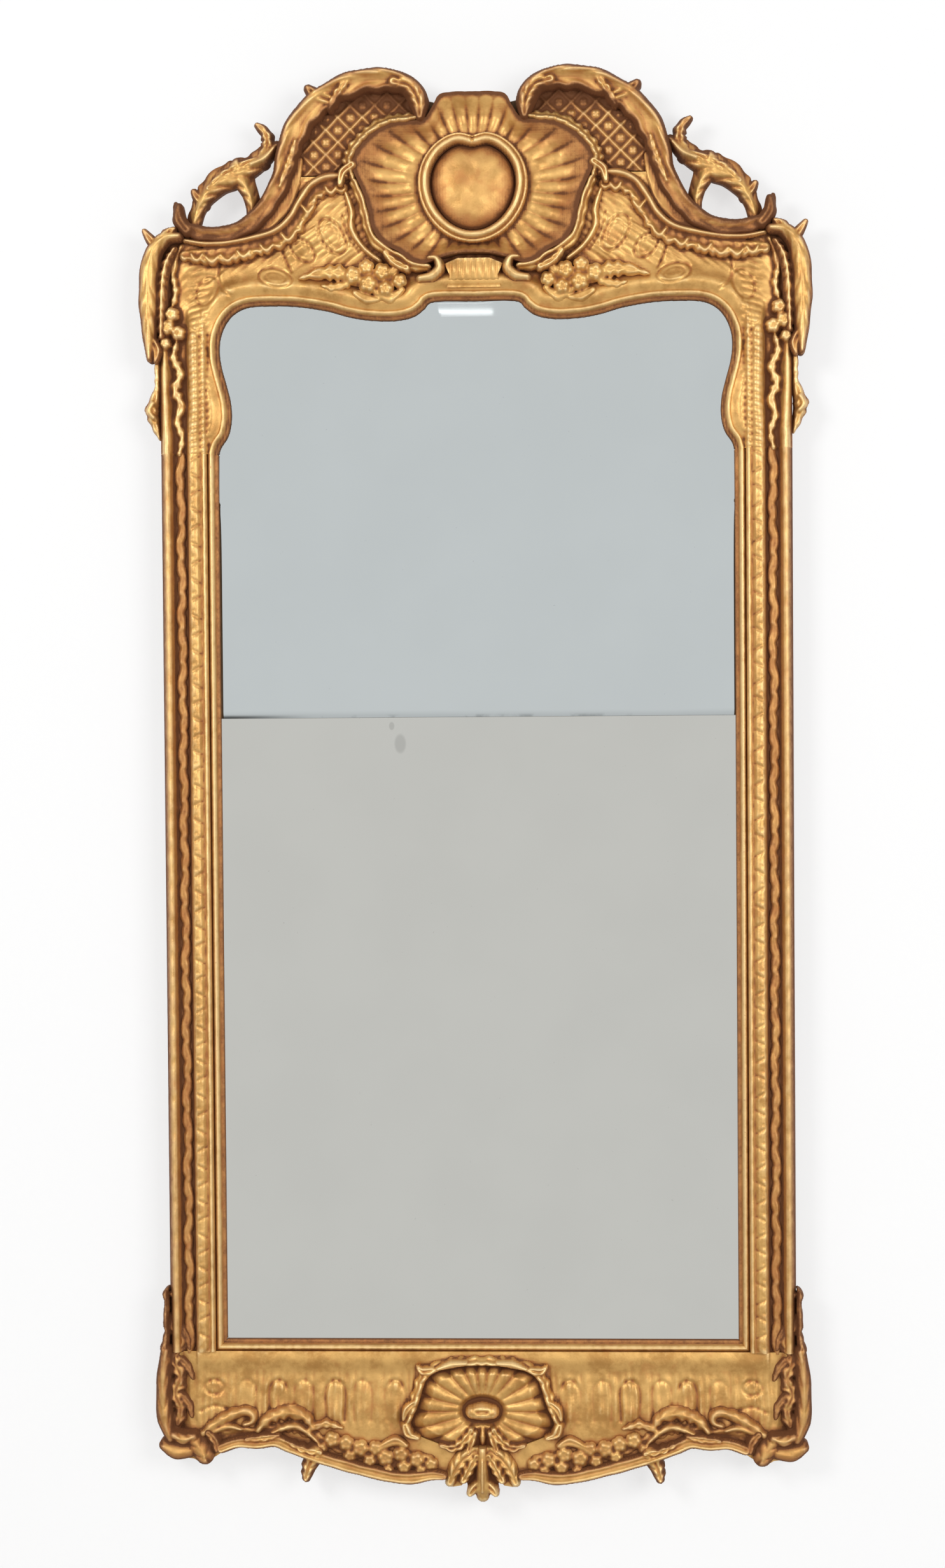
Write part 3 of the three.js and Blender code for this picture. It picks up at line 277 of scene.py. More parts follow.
class Carving:
    """One carved piece on a grid seen from the front: where there is wood, and its depth.

    Bands, flowers and grooves count their heights from the level, and stand on the foot.
    """

    def __init__(self, left, low, right, high, step=1.0, step_z=None, folded=False, level=0.0):
        low, high = level + low, level + high
        self.level, self.foot = level, GROUND
        self.x = np.arange(left, right + step, step)
        self.z = np.arange(low, high + step, step_z or step)
        across, self.up = np.meshgrid(self.x, self.z)
        self.across = np.abs(across) if folded else across
        self.margin = 2.5 * max(step, step_z or step)
        self.inside = np.full(self.up.shape, -99.0)
        self.front = np.full(self.up.shape, FOOT)
        # darkening added to the hollow mark: dirt, and painted shade where less light falls
        self.shade_and_grime = np.zeros(self.up.shape)
        self.edge_shade = (0.0, 8)  # painted shade along the outer edges, where they turn away from the light, and how far in it reaches

    def raised(self, points, level=None):
        """Points in mm from the joint of the plates."""
        level = self.level if level is None else level
        return [(x, level + z) for x, z in points]

    def within(self, outline):
        """Depth inside a closed outline for each grid point."""
        return inside_outline(outline, self.across, self.up)

    def part(self, line, reach):
        """The stretch of the grid that a line can reach."""
        low, high = np.min(line, axis=0) - reach, np.max(line, axis=0) + reach
        columns = np.nonzero((self.across >= low[0]).any(0) & (self.across <= high[0]).any(0))[0]
        rows = np.nonzero((self.z >= low[1]) & (self.z <= high[1]))[0]
        if len(rows) == 0 or len(columns) == 0:
            return None
        return slice(rows[0], rows[-1] + 1), slice(columns[0], columns[-1] + 1)

    def lay(self, part, inside, front):
        """Adds wood; where two lie over each other, the one further forward shows."""
        has, had = inside > 0, self.inside[part] > 0
        ahead = front > self.front[part]
        near = (inside > -self.margin) & ~has & ~had & (inside > self.inside[part])
        take = (has & (~had | ahead)) | near
        self.front[part] = np.where(take, front, self.front[part])
        self.inside[part] = np.maximum(self.inside[part], inside)
        return self

    def ground(self, inside, front):
        return self.lay((slice(None), slice(None)), inside, front)

    def band(self, points, halves, rise, section=ROLL, flutes=None, scallop=None, tall=(1, 1),
             steps=40, level=None):
        """Carved band along a line. flutes and scallop are (pitch, depth, slant or side)."""
        line = curve(self.raised(points, level), steps)
        part = self.part(line, max(halves) + 2 * self.margin)
        if part is None:
            return self
        share, left, run = nearest(line, self.across[part], self.up[part])
        half = mixed(halves, share) * (1 + 0.03 * np.sin(run / 7.3 + points[0][0]))
        if scallop:
            pitch, depth, side = scallop
            wave = depth * (0.5 - 0.5 * np.cos(2 * math.pi * uneven(run, pitch) / pitch))
            half = half * (1 - np.where(left * side >= 0, wave, 0))
        over = np.clip(left / half, -1, 1)
        height = mixed(tall, share) * np.interp(over, *zip(*section))
        if flutes:
            pitch, depth, slant = flutes
            wave = np.abs(np.sin(math.pi * (uneven(run, pitch) / pitch + slant * np.abs(over))))
            height = height * (1 - depth * (1 - wave**0.7) * step_up(np.abs(over), 0.05, 0.5))
        return self.lay(part, half - np.abs(left), self.foot + rise * height)

    def leaves(self, *rows):
        """Leaves, each a row of line, half widths and rise, then its flutes and scallop."""
        for points, halves, rise, *cuts in rows:
            self.band(points, halves, rise, LEAF, *cuts)

    def flower(self, x, z, radius, rise, turn=0.0):
        """Small open flower."""
        z = self.level + z
        part = self.part(np.array([(x, z)]), radius + 2 * self.margin)
        if part is None:
            return self
        across, up = self.across[part] - x, self.up[part] - z
        reach, angle = np.hypot(across, up), np.arctan2(up, across) + turn
        petal = np.abs(np.cos(PETALS * angle / 2))
        edge = radius * (0.84 + 0.16 * petal**0.6)
        share = np.clip(reach / edge, 0, 1)
        height = 0.4 + 0.5 * np.sin(math.pi * share**0.9) * (0.6 + 0.4 * petal**0.5)
        height = np.maximum(height, 0.95 * bump(reach, 0, 0.3 * radius))
        return self.lay(part, edge - reach, self.foot + rise * height)

    def groove(self, points, width, depth, steps=24):
        """Narrow recut line."""
        line = curve(self.raised(points), steps)
        part = self.part(line, 3 * width)
        if part is not None:
            gap = nearest(line, self.across[part], self.up[part])[1]
            self.front[part] -= depth * bump(gap, 0, width)
        return self

    def levelled(self, radius):
        """The front smoothed over a radius in cells, counting only the wood."""
        wood = (self.inside > -self.margin).astype(float)
        return blurred(self.front * wood, radius) / np.maximum(blurred(wood, radius), 1e-6)

    def softened(self, radius):
        """Edges rounded as gesso rounds them, and the small unevenness of hand carving."""
        wave = np.sin(self.across / 4.3 + 1.6 * np.sin(self.up / 8.1))
        wave += np.sin(self.up / 3.9 + 1.7 * np.sin(self.across / 9.3))
        self.front += HAND_WAVE * wave
        self.front = np.where(self.inside > -self.margin, self.levelled(radius), self.front)
        return self

    def cells(self):
        """Grid squares that hold wood, with no two touching only at a corner."""
        left, right = self.inside[:, :-1], self.inside[:, 1:]
        cells = left[:-1] + left[1:] + right[:-1] + right[1:] > 0
        for _ in range(5):
            a, b, c, d = cells[:-1, :-1], cells[:-1, 1:], cells[1:, :-1], cells[1:, 1:]
            falling, rising = a & d & ~b & ~c, b & c & ~a & ~d
            cells[:-1, 1:] |= falling
            cells[:-1, :-1] |= rising
        return cells

    def solid(self, back=FOOT):
        """Points in metres, faces, and the rim of the closed body behind this relief."""
        cells = self.cells()
        padded = np.pad(cells, 1)
        count = padded[:-1, :-1].astype(int) + padded[1:, :-1] + padded[:-1, 1:] + padded[1:, 1:]
        used, rim = count > 0, (count > 0) & (count < 4)
        slope_z, slope_x = np.gradient(self.inside, self.z, self.x)
        steep = np.maximum(slope_x**2 + slope_z**2, 0.2)
        moves = []  # rim points slide onto the outline, by little more than half a cell
        for slope, line in ((slope_x, self.x), (slope_z, self.z)):
            reach = 0.6 * (line[1] - line[0])
            moves.append(np.where(rim, np.clip(-self.inside * slope / steep, -reach, reach), 0))
        x, z = self.x[None, :] + moves[0], self.z[:, None] + moves[1]
        number = np.full(used.shape, -1)
        number[used] = np.arange(used.sum())
        behind = np.full(used.sum(), -1)
        behind[number[rim]] = used.sum() + np.arange(rim.sum())
        front = np.stack([x[used], -self.front[used], z[used]], axis=1)
        backs = np.stack([x[rim], np.full(rim.sum(), -back), z[rim]], axis=1)
        low_left, low_right = number[:-1, :-1], number[:-1, 1:]
        high_left, high_right = number[1:, :-1], number[1:, 1:]
        faces = [np.stack([n[cells] for n in (low_left, low_right, high_right, high_left)], axis=1)]
        sides = [
            (padded[:-2, 1:-1], low_left, low_right), (padded[1:-1, 2:], low_right, high_right),
            (padded[2:, 1:-1], high_right, high_left), (padded[1:-1, :-2], high_left, low_left),
        ]
        starts, ends = [], []
        for beside, a, b in sides:
            open_side = cells & ~beside
            starts.append(a[open_side])
            ends.append(b[open_side])
        start, end = np.concatenate(starts), np.concatenate(ends)
        faces.append(np.stack([end, start, behind[start], behind[end]], axis=1))
        points = np.concatenate([front, backs]) * MM
        closing = back_faces(points, behind[start], behind[end])
        return points, np.concatenate(faces), closing, used, rim


def back_faces(points, starts, ends):
    """Triangles that close the back inside its rim."""
    following = {}
    for a, b in zip(starts.tolist(), ends.tolist()):
        following.setdefault(a, []).append(b)
    loops = []
    while following:
        first, nexts = next(iter(following.items()))
        loop = [first]
        here = nexts.pop()
        if not nexts:
            del following[first]
        while here != first:
            loop.append(here)
            nexts = following[here]
            onward = nexts.pop()
            if not nexts:
                del following[here]
            here = onward
        loops.append(loop)
    flat = [n for loop in loops for n in loop]
    made = tessellate_polygon(
        [[Vector((points[n][0], points[n][2], 0)) for n in loop] for loop in loops])
    corners = np.array(flat)[np.array(made)]
    a, b, c = (points[corners[:, k]][:, [0, 2]] for k in range(3))
    facing = (b - a)[:, 0] * (c - a)[:, 1] - (b - a)[:, 1] * (c - a)[:, 0]
    corners[facing > 0] = corners[facing > 0][:, ::-1]
    return corners


# ---------------------------------------------------------------- hollows and ridges of the whole front, for dirt, painted shade and painted highlights

MAP_STEP = 2.0
MAP_LOW = -1110.0
MAP_SIZE = (1010, 240)  # rows up, columns out from the middle
NEAR, WIDE = 3.5 / MAP_STEP, 9 / MAP_STEP  # how far round a point its neighbours count, in cells
# mark on the carvings' side walls and backs: painted shade that darkens the sides
SIDE_WALL_SHADE = 0.7


def map_place(across, up):
    rows = np.clip(((up - MAP_LOW) / MAP_STEP).round().astype(int), 0, MAP_SIZE[0] - 1)
    columns = np.clip((np.abs(across) / MAP_STEP).round().astype(int), 0, MAP_SIZE[1] - 1)
    return rows, columns


def front_map(carvings):
    """Depth of the foremost carving all over the front, over one half."""
    depth = np.full(MAP_SIZE, GLASS_DEPTH)
    for carving in carvings:
        solid = carving.inside > 0
        place = map_place(carving.across[solid], carving.up[solid])
        np.maximum.at(depth, place, carving.front[solid])
    return depth


def hollows(carving, near, wide):
    """Darkening mark for each grid point, 0 on open surfaces to 1 in the deepest crevices: soiling with
    painted shade in the crevices, painted shade on steep sides and along the outer edges, and each
    piece's own added shade and soiling.
    """
    place = map_place(carving.across, carving.up)
    fine = np.clip((carving.levelled(2.2) - carving.front) / 1.6, 0, 1)
    close = np.clip((near[place] - carving.front) / 5.0, 0, 1)
    broad = np.clip((wide[place] - carving.front) / 15.0, 0, 1)
    slope = np.hypot(*np.gradient(carving.front, carving.z, carving.x))
    # painted shade on steep sides, which turn away from the light
    steep = step_up(slope, 0.7, 2.4) * (carving.inside > 1.5)
    # painted shade along the outer edges
    edge = carving.edge_shade[0] * (1 - step_up(carving.inside, 1, carving.edge_shade[1]))
    crevice = 0.45 * fine + 0.45 * close + 0.35 * broad + 0.25 * steep
    return np.clip(crevice + edge + carving.shade_and_grime, 0, 1)


def ridges(carving, near):
    """0 on open surfaces to 1 on high edges, for each grid point."""
    place = map_place(carving.across, carving.up)
    fine = np.clip((carving.front - carving.levelled(2.6)) / 1.4, 0, 1)
    broad = np.clip((carving.front - near[place]) / 4.0, 0, 1)
    return np.clip(0.42 * fine + 0.42 * broad, 0, 1)


def make_piece(name, points, quads, triangles, material, marks=None, sharp=None):
    """Object from points in metres and faces, with values for each point."""
    mesh = bpy.data.meshes.new(name)
    mesh.vertices.add(len(points))
    mesh.vertices.foreach_set("co", points.astype(np.float32).ravel())
    corners = np.concatenate([quads.ravel(), triangles.ravel()]).astype(np.int32)
    mesh.loops.add(len(corners))
    mesh.loops.foreach_set("vertex_index", corners)
    starts = np.concatenate(
        [4 * np.arange(len(quads)), 4 * len(quads) + 3 * np.arange(len(triangles))])
    mesh.polygons.add(len(starts))
    mesh.polygons.foreach_set("loop_start", starts.astype(np.int32))
    mesh.update(calc_edges=True)
    mesh.validate()
    mesh.shade_smooth()
    if sharp is not None:
        ends = np.zeros(2 * len(mesh.edges), np.int32)
        mesh.edges.foreach_get("vertices", ends)
        ends = ends.reshape(-1, 2)
        crease = mesh.attributes.new("sharp_edge", "BOOLEAN", "EDGE")
        crease.data.foreach_set("value", sharp[ends[:, 0]] & sharp[ends[:, 1]])
    for mark, values in (marks or {}).items():
        layer = mesh.attributes.new(mark, "FLOAT", "POINT")
        layer.data.foreach_set("value", values.astype(np.float32))
    mesh.materials.append(material)
    piece = bpy.data.objects.new(name, mesh)
    bpy.context.scene.collection.objects.link(piece)
    return piece


def place_piece(piece, node):
    """Puts a piece of the frame in place of its node."""
    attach(piece, "frame")
    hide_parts(node)


def dress(name, carving, near, wide):
    """Puts a gilt carving in place of its node, or of both nodes of a pair."""
    sides = [side for side in ("", "_right", "_left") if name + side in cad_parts]
    on_carcass = -span(name + sides[0], 1)[1] < FOOT
    points, quads, triangles, used, rim = carving.solid(BOARD_BACK if on_carcass else FOOT)
    hollow, ridge = hollows(carving, near, wide), ridges(carving, near)
    marks = {
        "hollow": np.concatenate([hollow[used], np.full(rim.sum(), SIDE_WALL_SHADE)]),
        "ridge": np.concatenate([ridge[used], 0 * ridge[rim]]),
    }
    on_rim = np.concatenate([rim[used], np.ones(rim.sum(), bool)])
    for side in sides:
        placed, faces, closing = points, quads, triangles
        if side == "_left":
            placed = points * [-1, 1, 1]
            faces, closing = quads[:, ::-1], triangles[:, ::-1]
        piece = make_piece(f"carved_{name}{side}", placed, faces, closing, GILT, marks, on_rim)
        place_piece(piece, name + side)


# ---------------------------------------------------------------- sight and slips

SIGHT_EDGE = curve(
    crest([
        (0, 1), (56, 1), (70, -9), (82, -18), (98, -23), (120, -25), (150, -23), (177, -18),
        (205, -10), (250, -3), (SIGHT_HALF - 58, -2), (SIGHT_HALF - 32, -7), (SIGHT_HALF - 14, -22),
        (SIGHT_HALF - 4, -44), (SIGHT_HALF - 2, -66), (SIGHT_HALF - 5, -88), (SIGHT_HALF - 12, -114),
        (SIGHT_HALF - 17, -136), (SIGHT_HALF - 18, -160), (SIGHT_HALF - 13, -182),
    ]) + [(SIGHT_HALF - 3, SPRING + 10), (SIGHT_HALF, SPRING)],
    90,
)


def from_sight(carving):
    """Distance outwards from the arched sight edge, below 0 over the glass."""
    long = np.concatenate([SIGHT_EDGE, [(SIGHT_HALF, SPRING - 60)]])
    return nearest(long, carving.across, carving.up)[1]


# Section of a slip: mm out from the sight edge, and mm forwards of the glass frame's face.
SLIP = [
    (-2, 0.2), (0, 0.6), (0.8, 4.4), (3, 5.6), (4.6, 5.4), (5.6, 7.4), (7.5, 11.6), (10, 13.8),
    (12.5, 12.6), (14.2, 10), (15, 7.5), (18, 6),
]


def slip_front(out):
    return FACE + np.interp(out, *zip(*SLIP))


def rebate_shadow(out):
    """Painted shadow of the rebate along the glass, darkest at the sight edge."""
    return 0.55 * (1 - step_up(out, 3, 5.5))


def sight_slip_top():
    carving = Carving(-376, SPRING - 2, 376, TOP + 20, folded=True)
    out = from_sight(carving)
    inside = np.minimum(np.minimum(out, SLIP_WIDTH - out), carving.up - SPRING)
    carving.shade_and_grime += rebate_shadow(out)
    return carving.ground(inside, slip_front(out)).softened(0.6)


def sight_slip():
    carving = Carving(SIGHT_HALF - 2, SIGHT_LOW - 17, SIGHT_HALF + 17, SPRING + 2, 0.8, 3)
    out = carving.across - SIGHT_HALF
    mitre = (out - (SIGHT_LOW - carving.up)) * 0.7
    inside = np.minimum(np.minimum(out, SLIP_WIDTH - out), np.minimum(mitre, SPRING - carving.up))
    carving.shade_and_grime += rebate_shadow(out)
    return carving.ground(inside, slip_front(out))


def sight_slip_bottom():
    carving = Carving(-376, SIGHT_LOW - 17, 376, SIGHT_LOW + 2, 3, 0.8, folded=True)
    out = SIGHT_LOW - carving.up
    mitre = (out - (carving.across - SIGHT_HALF)) * 0.7
    carving.shade_and_grime += rebate_shadow(out)
    return carving.ground(np.minimum(np.minimum(out, SLIP_WIDTH - out), mitre), slip_front(out))


# ---------------------------------------------------------------- side mouldings

# Section of a side moulding: mm out from the sight edge, and mm forwards of the carcass.
SIDE = [
    (13, 15), (15.5, 16), (17, 19.5), (19, 21.4), (21, 20.6), (22.5, 18.8), (24, 20), (28, 24.2),
    (33, 25.8), (37, 24.8), (40.5, 21), (42.5, 14), (44.5, 10.2), (52, 9.4), (59.5, 10.2),
    (61.5, 14), (63.5, 19), (66, 24), (69.5, 26.6), (72.5, 25.4), (75.5, 20), (77.5, 13), (79.5, 8),
]
DASH_PITCH = 24.0
GROOVE_X = SIGHT_HALF + 52.0


def recut_dashes(out, up):
    """Short slanted cuts along the broad band of the moulding."""
    turn = (up + 2.5 * np.sin(up / 61.0)) / DASH_PITCH
    place = (turn - np.round(turn)) * DASH_PITCH
    flip = np.where(np.round(turn) % 2 == 0, 1.0, -1.0)
    window = step_up(out, 22.5, 26) * (1 - step_up(out, 35, 39))
    stroke = bump(place - 0.5 * flip * (out - 31), 0, 1.7)
    short = bump(place - 9 + 0.25 * (out - 31), 0, 1.4) * bump(out, 35, 3.5)
    return window * (2.2 * stroke + 1.2 * short)


def side_front(carving):
    out = carving.across - SIGHT_HALF
    front = FACE + np.interp(out, *zip(*SIDE))
    front -= recut_dashes(out, carving.up)
    front -= 0.8 * bump(out, 70.5, 6) * (0.5 + 0.5 * np.sin(carving.up / 7.8))
    return front


def side_moulding():
    low, high = span("side_moulding_right", 2)
    carving = Carving(SIGHT_HALF + 13, low - 3, HALF_WIDTH + 2, high + 3, 1, 2)
    across = np.minimum(carving.across - SIGHT_HALF - SLIP_WIDTH, HALF_WIDTH - carving.across)
    along = np.minimum(carving.up - low, high - carving.up)
    # painted shade, deepest on the outer bead, with some dirt all over
    carving.shade_and_grime += 0.08 + 0.24 * step_up(carving.across - SIGHT_HALF, 62, 74)
    return carving.ground(np.minimum(across, along), side_front(carving)).softened(0.5)


def stile_strand():
    """Leafy strand: leaves that swell and turn from side to side in the groove."""
    low, high = span("stile_strand_right", 2)
    carving = Carving(GROOVE_X - 12, low - 3, GROOVE_X + 12, high + 3, 1, 1.5)
    # painted shade and dirt in the groove round the strand
    carving.shade_and_grime += 0.38
    count = int(round((high - low) / 49.0))
    pitch = (high - low) / count
    for k in range(count):
        foot = low + k * pitch
        way = 1 if k % 2 else -1
        x = GROOVE_X + way
        carving.foot = FACE + 10.5
        carving.band([(x - 2 * way, foot), (x + way, foot + 0.3 * pitch),
            (x + 3 * way, foot + 0.62 * pitch)], [4, 8, 3], 6.5, LEAF, (13, 0.25, 0.8), steps=10)
        carving.band([(x + way, foot + 0.4 * pitch), (x - 2 * way, foot + 0.7 * pitch),
            (x - 4 * way, foot + pitch)], [4, 7.5, 3], 6, LEAF, (13, 0.25, 0.8), steps=10)
    carving.foot = FACE + 10
    carving.band([(GROOVE_X, low), (GROOVE_X, high)], [5, 5], 4, steps=2)
    return carving.softened(1.0)


# ---------------------------------------------------------------- crest

crest_piece = partial(Carving, level=TOP)
SCROLL = crest([
    (72, 262), (71, 276), (80, 290), (102, 304), (132, 308), (166, 301), (198, 284), (224, 262),
    (243, 236), (254, 208), (262, 176), (276, 146), (297, 118), (325, 99), (353, 94), (381, 97),
    (401, 107), (410, 122), (412, 138),
])
SCROLL_LINE = curve(SCROLL, 80)
SHELL_HALF = curve(
    crest([
        (0, 284), (28, 284), (46, 280), (55, 264), (66, 249), (86, 245), (106, 244), (123, 239),
        (141, 228), (158, 211), (167, 193), (164, 176), (153, 152), (145, 126), (141, 104), (134, 89),
        (123, 77), (102, 66), (86, 54), (68, 50), (46, 58), (22, 64), (0, 65),
    ]),
    70,
)


def crest_scroll():
    carving = crest_piece(48, 68, 428, 330, 1.2)
    carving.shade_and_grime += 0.12
    carving.edge_shade = (0.6, 13)
    line = [(x, z - 5 * bump(x, 125, 60)) for x, z in SCROLL]
    halves = [7, 11, 13, 15.5, 17, 18, 18, 19, 19, 17.5, 15, 14, 13.5, 13, 12, 11, 8, 6, 3]
    tall = [0.6, 0.8, 0.9, 1, 1, 1, 1, 1, 1, 0.95, 0.9, 0.85, 0.8, 0.75, 0.7, 0.65, 0.6, 0.5, 0.4]
    carving.band(line, halves, 28, TWIN, (46, 0.16, -1.6), (31, 0.14, -1), tall=tall, steps=110,
        level=0)
    carving.leaves(
        ([(194, 274), (214, 282), (226, 292)], [11, 12, 7], 24),
        ([(196, 262), (186, 282), (172, 300)], [4, 10, 7], 29, VEINS, (14, 0.25, 0)))
    carving.shade_and_grime += 0.16 * step_up(carving.across, 270, 310)
    carving.leaves(
        ([(108, 298), (86, 292), (74, 272), (72, 250)], [9, 14, 14, 8], 29, (16, 0.3, 0.9)),
        ([(244, 220), (254, 186), (266, 158)], [3, 8, 3], 26, DEEP_VEINS),
        ([(304, 116), (326, 103), (352, 98), (378, 100)], [3, 6, 6, 3], 19, (14, 0.35, 0.9)),
        ([(396, 100), (407, 116), (407, 134)], [9, 10, 5], 22))
    return carving.softened(1.0)


def pierced_bracket():
    carving = crest_piece(262, 92, 410, 258)
    carving.shade_and_grime += 0.12
    carving.edge_shade = (0.45, 9)
    carving.foot = FACE
    carving.band([(390, 106), (384, 128), (373, 149), (357, 166), (339, 176), (320, 184),
        (303, 193), (289, 206), (272, 217)], [10, 11, 14, 18, 20, 18, 15, 13, 8], 27, BRANCH,
        (22, 0.2, -1.2), (19, 0.12, -1), tall=[0.6, 0.7, 0.95, 1, 1, 1, 0.95, 0.9, 0.85])
    carving.band([(322, 186), (317, 168), (309, 150), (305, 132), (303, 108)], [16, 15, 11, 10, 13],
        27, BRANCH, (17, 0.2, 0.9), tall=[1, 0.95, 0.85, 0.75, 0.7])
    carving.leaves(
        ([(292, 196), (284, 220), (288, 236), (299, 246)], [12, 11, 9, 5], 24, VEINS,
            (13, 0.2, 0)),
        ([(366, 158), (346, 176), (322, 188), (300, 198)], [5, 8, 8, 4], 31, (16, 0.3, 0.9)))
    carving.band([(306, 190), (288, 198), (274, 212)], [7, 8, 5], 30)
    carving.band([(374, 138), (383, 148), (388, 156)], [9, 8, 5], 22, LEAF)
    return carving.softened(1.0)


def rocaille_border():
    carving = crest_piece(168, 46, 416, 206)
    carving.foot = GROUND - 4
    carving.band([(240, 196), (249, 166), (262, 138), (284, 114), (316, 98), (346, 92)],
        [4, 10, 13, 12, 9, 4], 14, COVE, (38, 0.2, -1.5), steps=60)
    carving.shade_and_grime += 0.2
    carving.foot = GROUND
    carving.band([(182, 156), (204, 155), (222, 145), (233, 127), (245, 105), (266, 86), (300, 76),
        (325, 69), (350, 66), (374, 65), (400, 66)], [9, 12, 12, 12, 12, 12, 12, 12, 12, 12, 8], 12,
        RUFFLE, (15, 0.35, 0.35), (17, 0.35, -1), steps=90)
    carving.band([(174, 172), (202, 171), (224, 160), (240, 138), (254, 115), (275, 98), (306, 89),
        (340, 83), (372, 82), (400, 87)], [5, 6.5, 6.5, 6, 6, 5.5, 5, 4.5, 4.5, 3], 18, ROLL,
        (27, 0.18, 1.4), steps=80)
    curls = ((196, 156, 8), (228, 130, 8), (256, 92, 9), (286, 78, 9), (318, 70, 9), (340, 65, 10),
             (362, 63, 9), (383, 66, 8))
    for x, z, wide in curls:
        carving.band([(x - wide, z + 2), (x, z - 7), (x + wide, z + 2)], [3, 4.5, 3], 12, steps=10)
    return carving.softened(1.4)


def shell_reach(carving, half, middle):
    """Distance from a shell's middle as a share of its edge, the edge's distance, and the angle."""
    loop = np.concatenate([half, half[1:-1][::-1] * [-1, 1]])
    angles = np.arctan2(loop[:, 1] - middle[1], loop[:, 0] - middle[0])
    edges = np.hypot(loop[:, 0] - middle[0], loop[:, 1] - middle[1])
    order = np.argsort(angles)
    across, up = carving.across - middle[0], carving.up - middle[1]
    angle = np.arctan2(up, across)
    edge = np.interp(angle, angles[order], edges[order], period=2 * math.pi)
    return np.hypot(across, up) / edge, edge, angle


def crest_shell():
    carving = crest_piece(-172, 46, 172, 290, 1.2, folded=True)
    share, edge, angle = shell_reach(carving, SHELL_HALF, SHELL_MIDDLE)
    lobe = lobes(angle, 36)
    inside = (1 - share) * edge
    share = share * (1 + 0.05 * (1 - lobe**0.6) * step_up(share, 0.75, 0.95))
    bowl = np.interp(
        share, [0, 0.5, 0.56, 0.6, 0.68, 0.76, 0.84, 0.92, 1],
        [8, 13, 13.4, 12, 10.5, 11, 15.5, 22, 27.5])
    swell = np.interp(share, [0.5, 0.62, 0.8, 0.94, 1], [0.6, 3.4, 5.6, 5, 3])
    front = FACE + bowl + swell * (lobe**0.65 - 0.62)
    carving.edge_shade = (0.6, 10)
    # painted shade and dirt on the bowl's steep outer wall, and more under the rim at the top
    carving.shade_and_grime += 0.06 + 0.4 * step_up(share, 0.66, 0.93) * step_up(carving.across, 20, 90)
    carving.shade_and_grime += 0.3 * step_up(share, 0.93, 0.98) * step_up(carving.up, TOP + 255, TOP + 275)
    return carving.ground(inside, front).softened(0.9)


def shell_rim():
    carving = crest_piece(36, 26, 194, 268)
    line = offset(SHELL_HALF, 6.0)
    upper = [tuple(p) for p in line[14:38:3]]
    lower = [tuple(p) for p in line[36:62:3]]
    carving.band(upper, [5] + [8.5] * (len(upper) - 2) + [6], 22, RIM, (15, 0.3, 0.3), (14, 0.4, 1),
        steps=90, level=0)
    carving.band(lower, [6] + [7] * (len(lower) - 2) + [6], 22, RIM, (24, 0.2, 0.6), (22, 0.2, 1),
        steps=90, level=0)
    carving.band([(176, 150), (168, 124), (168, 100), (152, 74), (130, 56)], [3, 5, 5, 4, 3], 11,
        ROLL, (17, 0.3, 0.9))
    carving.band([(74, 30), (58, 33), (47, 44), (51, 57), (62, 58)], [6, 8, 8, 6, 3], 20)
    carving.leaves(
        ([(92, 44), (108, 52), (122, 66)], [7, 8, 4], 22, VEINS),
        ([(166, 186), (179, 176), (183, 160)], [7, 8, 4], 25))
    return carving.softened(0.9)


def shell_foot():
    carving = crest_piece(-50, 14, 50, 64, folded=True)
    outline = crest([(-37, 18), (37, 18), (33, 34), (40, 50), (22, 58), (-22, 58), (-40, 50),
                     (-33, 34)])
    inside = carving.within(outline)
    flute = np.abs(np.sin(math.pi * (carving.across / 9.0 + 0.5)))
    swell = bump(carving.up, TOP + 42, 16)
    front = GROUND + 3 + 5 * swell * (0.35 + 0.65 * flute**0.6) - 3 * bump(carving.up, TOP + 25, 3)
    return carving.ground(inside, front).softened(0.6)


HEART_HALF, HEART_RISE, HEART_DIP = 67, 69, 8
COLLAR_HALF = 8.7


def heart_line(scale):
    """Heart-shaped line of the cartouche, clockwise from the notch at its top."""
    angle = math.pi / 2 - np.linspace(0, 2 * math.pi, 73)
    x = HEART_HALF * np.cos(angle) * (1 + 0.07 * np.sin(angle))
    dip = np.where(np.sin(angle) > 0, HEART_DIP * np.exp(-((x / 15) ** 2)), 0)
    up = SHELL_MIDDLE[1] + (HEART_RISE * np.sin(angle) - dip) * scale
    return np.stack([x * scale, up], axis=1)


def cartouche_frame():
    carving = crest_piece(-80, 72, 80, 238)
    line = heart_line(1.0)
    left = nearest(line, carving.across, carving.up)[1]
    over = np.clip(left / COLLAR_HALF, -1, 1)
    front = SHELL_SEAT + 33.6 * np.interp(over, *zip(*COLLAR))
    front -= 3.5 * bump(carving.across, 0, 2.2) * step_up(carving.up, TOP + 205, TOP + 215)
    return carving.ground(COLLAR_HALF - np.abs(left), front).softened(0.7)


def cartouche_boss():
    carving = crest_piece(-64, 86, 64, 226)
    edge = heart_line(1 - 9.2 / HEART_HALF)
    share = shell_reach(carving, edge[:37], SHELL_MIDDLE)[0]
    dome = 0.42 + 0.5 * np.sqrt(np.clip(1 - share**2.2, 0, 1))
    # painted shading over the boss, darker towards its edge
    carving.shade_and_grime += 0.2 + 0.3 * step_up(share, 0.6, 0.98)
    front = SHELL_SEAT + 34 * dome + 0.35 * np.sin(carving.across / 6.5 + 0.6)
    return carving.ground(carving.within(edge[:-1]), front).softened(1.2)


